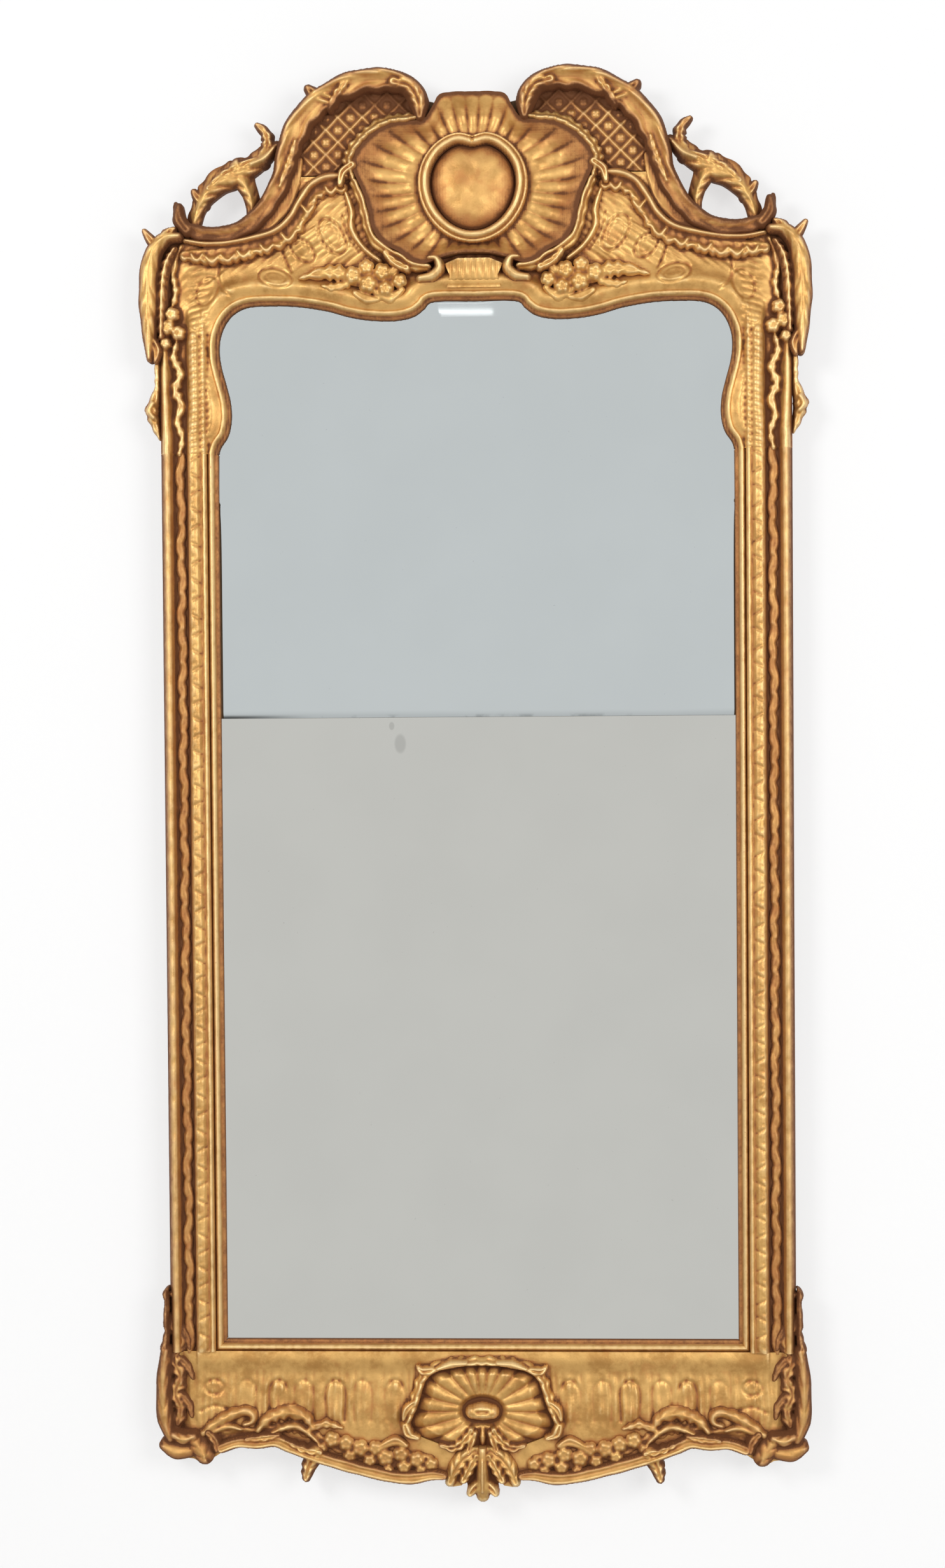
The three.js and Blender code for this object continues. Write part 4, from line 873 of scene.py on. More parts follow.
def flower_spray():
    carving = crest_piece(88, -4, 250, 66)
    carving.band([(160, 32), (186, 40), (212, 40), (242, 33)], [7, 13, 11, 1.5], 10, LEAF,
        (15, 0.35, 1.0), (15, 0.3, 0))
    carving.band([(176, 24), (196, 20), (212, 23)], [6, 8, 1.5], 8, LEAF, scallop=(12, 0.3, 0))
    carving.leaves(
        ([(176, 34), (150, 32), (128, 28), (110, 30)], [9, 13, 13, 9], 7),
        ([(134, 12), (116, 5), (98, 16)], [6, 9, 3], 9, (12, 0.25, 0.9)),
        ([(112, 40), (103, 52), (106, 64)], [7, 8, 2], 12),
        ([(164, 12), (148, 4), (132, 2)], [5, 8, 3], 9))
    blooms = [(167, 36, 13), (146, 24, 14), (126, 40, 13), (122, 17, 12), (103, 28, 11), (148, 47, 11)]
    for k, (x, z, radius) in enumerate(blooms):
        carving.flower(x, z, radius, 15, 0.7 * k)
    return carving.softened(1.4)


def hatching(across, up, turn, pitch=9.0):
    """Fine parallel recut lines at an angle."""
    along = across * math.cos(turn) + up * math.sin(turn)
    wave = np.sin(2 * math.pi * uneven(along + 1.5 * np.sin(up / 13.0), pitch) / pitch)
    return np.clip(wave, -0.2, 1)


def oval(x, z, wide, high, turn=0.0):
    """Closed oval line."""
    angle = np.linspace(0, 2 * math.pi, 13)
    u, v = wide * np.cos(angle), high * np.sin(angle)
    c, s = math.cos(turn), math.sin(turn)
    return [(x + c * a - s * b, z + s * a + c * b) for a, b in zip(u, v)]


def frieze_front(carving):
    """Hollowed ground of the frieze, with its recut hatching."""
    out = from_sight(carving)
    x, up = carving.across, carving.up - TOP
    front = 31.5 + 8.5 * bump(out, 27, 11) + 4.5 * step_up(out, 55, 150)
    front -= 4.5 * bump(out, 62, 20)
    fan = np.arctan2(up - 155, x)
    rays = np.sin(34 * fan + 0.02 * np.hypot(x, up - 155))
    front += 0.9 * np.sign(rays) * np.abs(rays) ** 0.5 * step_up(out, 42, 60)
    front -= 0.9 * hatching(x, up, 0.95) * step_up(out, 46, 56)
    return front, out


def frieze_top():
    step = 2 * SEAM / round(2 * SEAM / BROAD)
    carving = crest_piece(-SEAM - 2 * step, -30, SEAM + 2 * step, 176, step, folded=True)
    front, out = frieze_front(carving)
    outer = SCROLL_LINE[(SCROLL_LINE[:, 1] < TOP + 173) & (SCROLL_LINE[:, 0] < SEAM - 1)]
    outline = np.concatenate([
        [(-1, TOP - 40), (SEAM, TOP - 40), (SEAM, outer[-1][1] - 0.5)], outer[::-1],
        [(262, TOP + 173), (-1, TOP + 173)],
    ])
    inside = np.minimum(carving.within(outline), out - 0.5 * SLIP_WIDTH)
    shell = carving.within([*SHELL_HALF, (-60, TOP + 65), (-60, TOP + 284)])
    carving.ground(np.minimum(inside, -SHELL_GAP - shell), front)
    ovals = ((196, 92, 15, 27, -0.55), (276, 36, 24, 13, 0.25), (238, 74, 12, 20, -0.8))
    for x, z, wide, high, turn in ovals:
        carving.groove(oval(x, z, wide, high, turn), 1.7, 2.6, 36)
        carving.groove(oval(x, z, 0.6 * wide, 0.6 * high, turn), 1.3, 1.2, 30)
    carving.groove([(270, 85), (262, 62), (254, 44)], 1.8, 3)
    carving.groove([(182, 120), (176, 96), (160, 70)], 1.6, 2)
    return carving.softened(0.6)


def trellis_panel():
    carving = crest_piece(60, 172, 264, 300, BROAD)
    low = TOP + 173.3
    outer = SCROLL_LINE[(SCROLL_LINE[:, 1] > low)]
    inner = SHELL_HALF[(SHELL_HALF[:, 1] > low) & (SHELL_HALF[:, 0] > 62)]
    outline = [*outer, (262, low), *inner[::-1]]
    pitch = 24.0
    p = (carving.across + carving.up - TOP) / math.sqrt(2)
    q = (carving.across - carving.up + TOP) / math.sqrt(2)
    p, q = p - pitch * np.round(p / pitch), q - pitch * np.round(q / pitch)
    lattice = np.maximum(bump(p, 0, 2.3), bump(q, 0, 2.3))
    knot = bump(np.hypot(p, q), 0, 4.2)
    cell_p, cell_q = pitch / 2 - np.abs(p), pitch / 2 - np.abs(q)
    reach = np.hypot(cell_p, cell_q)
    petal = np.abs(np.cos(2 * np.arctan2(cell_q, cell_p)))
    rosette = bump(reach, 3.6, 2.2) * (0.4 + 0.6 * petal) + bump(reach, 0, 1.6)
    front = GROUND - 5 + 3.6 * lattice + 2 * knot + 4 * np.clip(rosette, 0, 1)
    under = step_up(carving.up, TOP + 252, TOP + 276) * (1 - step_up(carving.across, 160, 190))
    front -= 5 * under
    # darker all over, and painted shadow under the scroll's inner edge
    carving.shade_and_grime += 0.33 + 0.35 * under
    return carving.ground(carving.within(outline), front).softened(0.6)


def shoulder_front(carving):
    """Face of the shoulder: flat with ladder cuts inside, a deep rocaille hollow outside."""
    front, out = frieze_front(carving)
    x, up = carving.across, carving.up - TOP
    low = (1 - step_up(up, -60, 10)) * step_up(x, 312, 345)
    stile = FACE + np.interp(x - SIGHT_HALF, *zip(*SIDE))
    front = front * (1 - low) + np.where(x > SIGHT_HALF + 14, np.minimum(stile, 48.5), front) * low
    ladder = np.clip(np.sin(2 * math.pi * (up + 0.25 * (x - 380)) / 9.5) - 0.1, 0, 1)
    rungs = step_up(x, 366, 372) * (1 - step_up(x, 394, 399)) * (1 - step_up(up, 60, 90))
    front -= 1.7 * ladder * rungs
    hollow = bump(x, 419 - 0.04 * np.abs(up - 30), 15)
    hollow *= step_up(up, -190, -120) * (1 - step_up(up, 84, 96))
    front = front * (1 - hollow) + 26.5 * hollow
    return front, out


def shoulder_block():
    carving = Carving(SEAM - 3 * BROAD, SPRING - 2, 462, TOP + 112, BROAD)
    carving.level = TOP
    front, out = shoulder_front(carving)
    upper = SCROLL_LINE[(SCROLL_LINE[:, 0] > SEAM) & (SCROLL_LINE[:, 0] < 381)]
    upper = upper[upper[:, 1] < TOP + 130]
    upper = np.concatenate([[(SEAM, upper[0][1] + 0.5)], upper])
    outline = np.concatenate([
        [(SEAM, TOP - 40), (SIGHT_HALF - 30, SPRING), (HALF_WIDTH, SPRING)],
        crest([(HALF_WIDTH, -76), (HALF_WIDTH + 8, -66), (HALF_WIDTH + 17, -36), (HALF_WIDTH + 21, 14),
               (HALF_WIDTH + 15, 66), (HALF_WIDTH + 6, 86), (HALF_WIDTH - 18, 94)]),
        upper[::-1],
    ])
    carving.ground(np.minimum(carving.within(outline), out - 0.5 * SLIP_WIDTH), front)
    carving.groove([(352, 62), (356, 40), (350, 22), (338, 12)], 1.7, 2.6)
    carving.groove(oval(372, 20, 14, 22, 0.4), 1.6, 2.4, 36)
    carving.groove([(392, -34), (376, -52), (366, -74)], 1.7, 2.2)
    carving.foot = FACE + 9
    carving.band([(411, -206), (407, -184), (414, -162), (408, -140), (416, -118), (409, -96),
        (418, -74), (414, -54)], [5, 7, 7, 8, 8, 8, 7, 4], 12, LEAF, (14, 0.35, 0.8), (16, 0.35, 0),
        steps=70)
    carving.foot = FACE + 6
    carving.band([(421, -6), (415, 18), (419, 44), (412, 68), (406, 82)], [4, 6, 6, 6, 3], 9, LEAF,
        (14, 0.35, 0.8), (15, 0.35, 0))
    for x, z, radius in ((426, -32, 12), (411, -40, 11), (420, -14, 11), (429, -54, 9)):
        carving.foot = FACE + 14
        carving.flower(x, z, radius, 13, 0.03 * x)
    return carving.softened(0.9)


def shoulder_scroll():
    carving = crest_piece(398, -84, 470, 116)
    carving.shade_and_grime += 0.06
    carving.edge_shade = (0.4, 8)
    carving.band([(449.5, -76), (450, -46), (450.5, -4), (449.5, 40), (442.5, 72), (426.5, 90),
        (408, 92)], [5, 10, 14.5, 14.5, 13, 10, 7], 22, SHOULDER, (29, 0.14, 1.3), steps=60)
    carving.band([(434, -46), (433, -10), (431, 30), (425, 58), (414, 76)], [5, 7, 7.5, 7, 4], 17,
        ROLL, (14, 0.4, 0.4), (14, 0.35, -1), steps=60)
    carving.leaves(
        ([(440, 80), (449, 91), (456, 101)], [9, 7, 4], 17),
        ([(434, 84), (424, 96), (413, 103)], [7, 9, 4], 22, (12, 0.25, 0.9)),
        ([(448, -46), (440, -64), (442, -80)], [6, 8, 3], 18))
    return carving.softened(0.9)


def stile_volute():
    carving = crest_piece(434, -192, 468, -74)
    stations = [(-186, 1.5), (-168, 7), (-146, 12), (-128, 7.5), (-112, 4.5), (-80, 4.5)]
    edge = HALF_WIDTH + 0.3
    carving.foot = FACE
    carving.band([(edge + half, z) for z, half in stations], [half for _, half in stations], 17,
        LEAF, (14, 0.25, 0.6), (16, 0.2, -1))
    carving.band([(edge + 10, -136), (edge + 15, -147), (edge + 9, -156)], [5, 7, 5], 20, steps=12)
    return carving.softened(0.9)


# ---------------------------------------------------------------- apron

apron_piece = partial(Carving, level=SIGHT_LOW)
APRON_SHELL_HALF = curve(
    apron([(0, -31), (28, -32), (50, -35), (68, -42), (79, -51), (85, -66), (90, -82), (96, -99),
           (102, -113), (100, -126), (82, -136), (56, -146), (28, -153), (0, -155)]),
    48,
)


def frieze_bottom():
    carving = apron_piece(-452, -200, 452, -14, BROAD, folded=True)
    x, down = carving.across, SIGHT_LOW - carving.up
    outline = apron([
        (-1, -15.3), (HALF_WIDTH, -15.3), (HALF_WIDTH + 8, -36), (HALF_WIDTH + 13, -76),
        (HALF_WIDTH + 13, -109), (HALF_WIDTH + 7, -133), (HALF_WIDTH - 1, -150),
        (HALF_WIDTH - 5, -164), (HALF_WIDTH - 32, -167), (HALF_WIDTH - 46, -175),
        (HALF_WIDTH - 62, -164), (HALF_WIDTH - 80, -152), (HALF_WIDTH - 95, -147),
        (299, -151), (286, -147), (267, -157), (228, -168), (180, -183), (147, -192), (122, -196),
        (100, -197), (67, -192), (40, -194), (20, -188), (-1, -186),
    ])
    front = 35 + 3.5 * bump(down, 26, 14) + 2.5 * step_up(down, 45, 95) - 0.6 * bump(down, 46, 9)
    ribs = np.sin(2 * math.pi * uneven(x + 1.5 * np.sin(down / 21), 12) / 12)
    front += 1.0 * ribs * step_up(down, 30, 56) * (1 - step_up(down, 112, 126))
    stile = FACE + np.interp(x - SIGHT_HALF, *zip(*SIDE))
    beyond = step_up(x, 384, 410) * (1 - step_up(down, 20, 60))
    front = front * (1 - beyond) + np.clip(stile, 37, 42) * beyond
    hollow = bump(x, 424, 13) * step_up(down, 10, 40) * (1 - step_up(down, 128, 146))
    front = front * (1 - hollow) + 30 * hollow
    shell = carving.within([*APRON_SHELL_HALF, (-60, SIGHT_LOW - 155), (-60, SIGHT_LOW - 31)])
    carving.ground(np.minimum(carving.within(outline), -SHELL_GAP - shell), front)
    for middle, depth in ((122, 2.6), (168, 1.1), (206, 3.0), (250, 1.4), (286, 2.8), (330, 1.0)):
        pod = bump(x, middle, 8) * (bump(down, 66, 8) + 1.4 * bump(down, 98, 14))
        carving.front += 0.6 * depth * pod
        carving.groove([(middle - 12, -112), (middle - 14, -76), (middle - 9, -61), (middle, -56),
            (middle + 9, -61), (middle + 14, -76), (middle + 12, -112)], 2.4, depth, 40)
    carving.groove(oval(376, -66, 13, 10), 2.2, 2.4, 36)
    carving.groove([(396, -100), (376, -92), (352, -98)], 2.2, 2.0)
    return carving.softened(0.9)


def apron_shell():
    carving = apron_piece(-106, -160, 106, -26, folded=True)
    share, edge, angle = shell_reach(carving, APRON_SHELL_HALF, KNOB_MIDDLE)
    lobe = lobes(angle, 22)
    inside = (1 - share) * edge
    share = share * (1 + 0.06 * (1 - lobe**0.6) * step_up(share, 0.7, 0.95))
    swell = np.interp(share, [0.3, 0.55, 0.85, 1], [1.5, 4.6, 6, 4])
    bowl = np.interp(share, [0, 0.4, 0.6, 0.8, 0.9, 1], [15, 17, 20, 20, 15, 11])
    front = FACE + bowl + swell * (lobe**0.6 - 0.6)
    x, up = carving.across, carving.up - KNOB_MIDDLE[1]
    well = 1 - step_up(np.hypot(x / 31, up / 22), 0.75, 1.2)
    throat = bump(x, 0, 12) * step_up(-up, 12, 30) * (1 - step_up(-up, 50, 60))
    deep = np.maximum(well, throat)
    front = front * (1 - deep) + (FACE + 8) * deep
    # darker towards the rim of the shell: painted shade and dirt
    carving.shade_and_grime += 0.3 * step_up(share, 0.8, 0.95)
    carving.ground(inside, front)
    # painted shade in the well round the knob and its throat, taken off again on the knob itself
    carving.shade_and_grime += 0.12 * deep
    carving.foot = FACE + 2
    carving.band([(-13, -99), (0, -98), (13, -99)], [12, 14, 12], 30, KNOB, tall=[0.85, 1, 0.85])
    carving.shade_and_grime -= 0.12 * deep * (carving.front > FACE + 16)
    carving.groove([(-7, -98), (0, -97.5), (7, -98)], 2.2, 5, 8)
    carving.foot = FACE + 4
    carving.band([(0, -122), (0, -134), (0, -146)], [3, 7, 4], 14, tall=[0.6, 1, 0.9])
    carving.foot = FACE + 6
    carving.leaves(
        ([(16, -124), (24, -138), (40, -149), (58, -146)], [6, 11, 11, 5], 22, (14, 0.25, 0.9),
            (15, 0.25, 0)),
        ([(10, -128), (16, -142), (20, -156)], [4, 8, 6], 22, (14, 0.25, 0.9)))
    return carving.softened(0.9)


def apron_shell_rim():
    carving = apron_piece(-118, -144, 118, -18, folded=True)
    line = offset(APRON_SHELL_HALF, 5.0)
    rim = [(-4, line[0][1])] + [(max(p[0], 0.0), p[1]) for p in line[0:36:3]]
    carving.band(rim, [7.5] * len(rim), 20, RIM, (17, 0.3, 0.3), (17, 0.35, 1), steps=90, level=0)
    carving.band([(22, -28), (42, -30), (62, -36)], [5, 8, 4], 22)
    carving.leaves(
        ([(68, -38), (82, -40), (90, -34)], [6, 8, 2], 20),
        ([(94, -84), (105, -94), (110, -108)], [5, 7, 3], 20),
        ([(108, -116), (104, -128), (90, -134)], [5, 7, 4], 20))
    return carving.softened(0.9)


def apron_pendant():
    carving = apron_piece(-54, -226, 54, -148, folded=True)
    body = apron([(-1, -150), (34, -152), (48, -176), (49, -194), (42, -205), (30, -203), (23, -196),
                  (20, -208), (-1, -210)])
    carving.ground(carving.within(body), np.full(carving.up.shape, GROUND + 2))
    carving.leaves(
        ([(10, -152), (26, -164), (38, -180), (46, -198)], [9, 13, 12, 7], 13, (15, 0.3, 0.9),
            (15, 0.25, -1)),
        ([(8, -160), (17, -176), (27, -194)], [7, 10, 7], 18, (14, 0.3, 0.9), (13, 0.2, 0)))
    carving.band([(-0.1, -150), (0, -170), (0, -190), (0, -206), (0, -216.6)], [8, 9, 10, 14, 9],
        23, tall=[0.9, 1, 0.95, 0.9, 0.6])
    carving.band([(4, -196), (13, -206), (18, -213)], [7, 9, 5], 18, LEAF)
    carving.band([(0, -164), (0, -192), (0, -208)], [3, 4, 2], 26)
    return carving.softened(0.9)


def corner_scroll():
    carving = apron_piece(364, -180, 462, 78)
    carving.edge_shade = (0.4, 11)
    carving.band([(442, -12), (446, -44), (447, -80), (444.5, -112), (437, -136)],
        [8, 10, 11, 12, 8], 18, CORNER, (33, 0.2, 1.4), steps=60)
    # darker over the corner: painted shade and dirt in its cavities
    carving.shade_and_grime += 0.25
    stations = [(-24, 6), (-8, 7), (12, 4), (30, 5), (50, 3.5), (68, 5), (74, 2)]
    edge = HALF_WIDTH + 0.3
    carving.band([(edge + half, z) for z, half in stations], [half for _, half in stations], 19,
        LEAF, (14, 0.3, 0.8), (17, 0.3, -1))
    carving.foot = GROUND - 5
    carving.band([(434, 66), (426, 46), (432, 22), (423, 0), (432, -26), (424, -50), (431, -74),
        (424, -96), (428, -118)], [5, 10, 12, 12, 13, 13, 13, 12, 8], 13, LEAF, (16, 0.4, 0.8),
        (19, 0.35, 0), steps=80)
    carving.leaves(
        ([(424, 22), (414, 6), (410, -12)], [5, 7, 3], 11, DEEP_VEINS),
        ([(428, -22), (414, -36), (406, -54)], [6, 8, 3], 11, DEEP_VEINS),
        ([(424, -76), (412, -90), (408, -108)], [6, 8, 3], 11, DEEP_VEINS))
    carving.foot = GROUND
    carving.band([(445, -146), (430, -153), (412, -152)], [9, 13, 12], 15, BRANCH)
    carving.band([(432, -130), (418, -136), (404, -132)], [9, 12, 8], 22, ROLL, (15, 0.2, 0.9))
    carving.band([(402, -138), (394, -152), (389, -160)], [12, 14, 13], 18, BRANCH, (15, 0.2, 0.9))
    carving.band([(384, -128), (374, -140), (372, -152)], [7, 9, 6], 18, LEAF, DEEP_VEINS)
    return carving.softened(0.9)


def apron_scroll():
    carving = apron_piece(44, -206, 374, -124)
    carving.edge_shade = (0.6, 9)
    carving.band([(366, -150), (342, -142), (315, -143), (289, -140), (266.6, -149), (228, -163),
        (179.5, -177), (147, -185), (122, -190), (98, -191), (72, -187), (54, -188)],
        [8, 9, 9, 10, 10, 10, 10, 10, 10, 10, 9, 6], 19, EDGE, steps=100)
    carving.leaves(
        ([(234, -156), (243, -174), (248, -192)], [15, 12, 7], 18, VEINS, (12, 0.2, 1)),
        ([(226, -154), (250, -150), (274, -138)], [5, 9, 3], 23, (14, 0.3, 0.9), (15, 0.3, 0)),
        ([(330, -136), (304, -134), (284, -130)], [5, 8, 3], 21, VEINS))
    return carving.softened(0.9)


def apron_ruffle():
    carving = apron_piece(56, -186, 408, -90)
    carving.band([(392, -142), (370, -134), (346, -130), (315, -128), (289, -124), (266.6, -122),
        (244, -130), (221, -142), (186, -153), (147, -162), (112, -166), (74, -166)],
        [8, 9, 9, 9, 9, 9, 9, 10, 11, 12, 13, 10], 8, RUFFLE, (15, 0.4, 0.35), (15, 0.3, 0),
        steps=90)
    carving.shade_and_grime += 0.25
    carving.band([(392, -130), (374, -116), (352, -104), (334, -98), (322, -103), (322, -113),
        (334, -117)], [7, 10, 10, 9, 8, 6, 4], 13, ROLL, (17, 0.25, 0.9), (19, 0.2, -1), steps=60)
    carving.band([(378, -128), (356, -120), (338, -124)], [4, 6, 3], 12, steps=30)
    carving.band([(314, -126), (302, -112), (284, -103), (264, -101), (247, -108), (238, -122)],
        [6, 10, 12, 12, 10, 6], 13, ROLL, (15, 0.35, 0.5), (16, 0.3, 1), steps=50)
    carving.band([(304, -134), (284, -124), (264, -119), (246, -127), (230, -142)], [4, 6, 7, 6, 3],
        13, ROLL, DEEP_VEINS)
    carving.leaves(
        ([(242, -124), (220, -116), (196, -122)], [5, 9, 3], 13, DEEP_VEINS, (14, 0.3, 0)),
        ([(142, -148), (122, -140), (106, -146)], [6, 9, 4], 12))
    blooms = [
        (211, -138, 12), (191, -143, 12), (171, -150, 13), (150, -150, 11), (136, -163, 13),
        (114, -158, 12), (158, -167, 10), (186, -161, 10), (110, -176, 11), (92, -166, 12),
        (86, -181, 9), (72, -172, 10), (132, -180, 8), (226, -150, 9),
    ]
    for k, (x, z, radius) in enumerate(blooms):
        carving.flower(x, z, radius, 14, 0.9 * k)
    return carving.softened(1.5)


# ---------------------------------------------------------------- materials

class Wire:
    """A value between nodes, which can be written in sums."""

    def __init__(self, finish, socket):
        self.finish = finish
        self.socket = socket

    def sum(self, how, first, second):
        return self.finish.node("ShaderNodeMath", {"operation": how}, {0: first, 1: second})

    def __add__(self, other):
        return self.sum("ADD", self, other)

    def __sub__(self, other):
        return self.sum("SUBTRACT", self, other)

    def __mul__(self, other):
        return self.sum("MULTIPLY", self, other)

    def __rsub__(self, other):
        return self.sum("SUBTRACT", other, self)

    __radd__, __rmul__ = __add__, __mul__

    def held(self):
        """The same value kept between 0 and 1."""
        return self.finish.node("ShaderNodeClamp", {}, {"Value": self})

    def ramp(self, low, high):
        """0 below low, 1 above high, soft between."""
        return self.finish.node(
            "ShaderNodeMapRange", {"interpolation_type": "SMOOTHSTEP"},
            {"Value": self, "From Min": low, "From Max": high})


class Finish:
    """A material or a world under construction."""

    def __init__(self, owner, shader="Principled BSDF"):
        self.owner = owner
        self.owner.use_nodes = True
        self.tree = self.owner.node_tree
        self.shader = self.tree.nodes[shader]

    def node(self, kind, settings, inputs, output=0):
        """A node of a kind, with its settings, then its inputs."""
        made = self.tree.nodes.new(kind)
        for setting, value in settings.items():
            setattr(made, setting, value)
        for name, value in inputs.items():
            self.feed(made.inputs[name], value)
        return Wire(self, made.outputs[output])

    def feed(self, socket, value):
        if isinstance(value, Wire):
            self.tree.links.new(value.socket, socket)
        else:
            socket.default_value = value

    def mix(self, share, first, second):
        """Colour between two colours."""
        colours = {k: c if isinstance(c, Wire) else (*c, 1.0) for k, c in ((6, first), (7, second))}
        return self.node("ShaderNodeMix", {"data_type": "RGBA"}, {0: share, **colours}, 2)

    def mark(self, name):
        return self.node("ShaderNodeAttribute", {"attribute_name": name}, {}, "Fac")

    def place(self):
        return self.node("ShaderNodeTexCoord", {}, {}, "Object")

    def ray(self, kind):
        return self.node("ShaderNodeLightPath", {}, {}, f"Is {kind} Ray")

    def either(self, share, first, second):
        """One shader or another."""
        return self.node("ShaderNodeMixShader", {}, {0: share, 1: first, 2: second})

    def along(self, vector, axis):
        return self.node("ShaderNodeSeparateXYZ", {}, {"Vector": vector}, axis)

    def stretched(self, scale):
        return self.node("ShaderNodeMapping", {}, {"Vector": self.place(), "Scale": scale})

    def noise(self, size, detail=3.0, rough=0.55, vector=None):
        """Cloudy pattern whose blots are about size metres across."""
        inputs = {"Scale": 1 / size, "Detail": detail, "Roughness": rough}
        return self.node(
            "ShaderNodeTexNoise", {}, {"Vector": vector or self.place(), **inputs}, "Fac")

    def bump(self, height, distance, strength=1.0):
        inputs = {"Height": height, "Distance": distance, "Strength": strength}
        return self.node("ShaderNodeBump", {}, inputs, "Normal")

    def surface(self, **inputs):
        """Sets the shader's sockets, with _ for a blank in a name."""
        for name, value in inputs.items():
            value = (*value, 1.0) if isinstance(value, tuple) else value
            self.feed(self.shader.inputs[name.replace("_", " ")], value)
        return self.owner


def new_finish(name):
    return Finish(bpy.data.materials.new(name))


GOLD_LEAF = (0.68, 0.40, 0.128)
# pale gold for the painted highlights on the ridges
HIGHLIGHT_GOLD = (0.86, 0.60, 0.28)
GOLD_DEEP = (0.46, 0.235, 0.062)
RED_GOLD = (0.54, 0.23, 0.065)
BOLE = (0.38, 0.135, 0.038)
# dark brown for dirt with painted shade in the hollows
SHADE_AND_DIRT_BROWN = (0.155, 0.053, 0.014)


def water_gilding():
    """Gold leaf over red bole: pale painted highlights on the ridges, bole rubbed through there, and
    deep, dull soiling with painted shade in the hollows.
    """
    f = new_finish("water_gilding")
    hollow, ridge = f.mark("hollow"), f.mark("ridge")
    cloud = f.noise(0.05)
    blots = f.noise(0.011, 4.0, 0.65)
    grains = f.noise(0.0026, 2.0, 0.6)
    leaf = f.mix((cloud * 0.7 + blots * 0.3).ramp(0.32, 0.68), GOLD_DEEP, GOLD_LEAF)
    leaf = f.mix(((cloud + blots) * 0.5).ramp(0.4, 0.62) * 0.75, leaf, GOLD_LEAF)
    patches = f.noise(0.024, 3.0, 0.6)
    leaf = f.mix(patches.ramp(0.56, 0.7) * 0.4, leaf, RED_GOLD)
    # painted highlights: pale gold on the ridges
    leaf = f.mix((ridge * 0.9 + (blots - 0.5) * 0.6).ramp(0.15, 0.8), leaf, HIGHLIGHT_GOLD)
    worn = (ridge + (blots - 0.5) * 1.6 + (grains - 0.5) * 0.8).ramp(0.95, 1.25)
    # bole in the hollows and dirt over it, darkened further by the painted shade in the hollow mark
    sunk = (hollow * 1.25 + (blots - 0.5) * 0.5 + (patches - 0.5) * 0.5).ramp(0.12, 0.75)
    dirt_and_shade = (hollow * 1.2 + (blots - 0.5) * 0.7 + (grains - 0.5) * 0.3).ramp(0.5, 1.0)
    colour = f.mix(worn * 0.55, leaf, BOLE)
    colour = f.mix(sunk * 0.8, colour, BOLE)
    colour = f.mix(dirt_and_shade, colour, SHADE_AND_DIRT_BROWN)
    bare = (worn * 0.5 + dirt_and_shade * 0.9 + sunk * 0.25).held()
    height = blots * 0.6 + grains * 0.4
    return f.surface(
        Base_Color=colour,
        Metallic=0.62 - bare * 0.45,
        Roughness=(0.42 + (blots - 0.5) * 0.16 + sunk * 0.18 + dirt_and_shade * 0.2).held(),
        Normal=f.bump(height, 0.0008, 0.6),
    )


# Smudges on the lower plate: place across and up, half width and half height, in metres.
SMUDGES = ((-0.108, -0.037, 0.009, 0.015), (-0.120, -0.012, 0.004, 0.006))
DARK_CORNER = (0.03, 0.03, 0.028)
BACK_PAINT = (0.075, 0.068, 0.06)


def old_glass(name, tint, dark_foot):
    """Old silvered glass, specked, with a painted soft shadow towards the joint of the plates, and
    painted on its back.
    """
    f = new_finish(name)
    across, up = f.along(f.place(), "X"), f.along(f.place(), "Z")
    cloud = f.noise(0.16)
    specks = f.noise(0.006, 2.0, 0.7)
    # painted soft shadow above the joint of the plates, darkest at the joint
    foot = (1 - (up + (cloud - 0.5) * 0.006).ramp(0.0, 0.011)) * dark_foot
    blotch = (1 - up.ramp(0.0, 0.006)) * f.noise(0.05, 4.0).ramp(0.55, 0.66) * dark_foot
    speck = specks.ramp(0.74, 0.8)
    shade = tuple(0.55 * c for c in tint)
    colour = f.mix(cloud.ramp(0.3, 0.7) * 0.5, tint, tuple(0.95 * c for c in tint))
    colour = f.mix((foot * 0.4 + blotch * 0.6 + speck * 0.25).held(), colour, shade)
    corner = (1 - up.ramp(0.001, 0.006)) * (across * -1).ramp(0.22, 0.35) * dark_foot
    colour = f.mix(corner * 0.9, colour, DARK_CORNER)
    for x, z, wide, high in () if dark_foot else SMUDGES:
        aside, above = (across - x) * (1 / wide), (up - z) * (1 / high)
        far = aside * aside + above * above
        colour = f.mix((1 - (far + (cloud - 0.5) * 1.5).ramp(0.4, 1.1)) * 0.4, colour, shade)
    back = f.along(f.node("ShaderNodeNewGeometry", {}, {}, "Normal"), "Y").ramp(0.5, 0.9)
    return f.surface(
        Base_Color=f.mix(back, colour, BACK_PAINT),
        Metallic=1 - back,
        Roughness=0.02 + cloud * 0.02 + speck * 0.1 + back * 0.5,
    )


PALE_PINE, BROWN_PINE = (0.30, 0.185, 0.095), (0.19, 0.105, 0.048)
STAINED_PINE = (0.12, 0.075, 0.042)
IRON_SKIN, RUST = (0.055, 0.05, 0.046), (0.14, 0.055, 0.022)


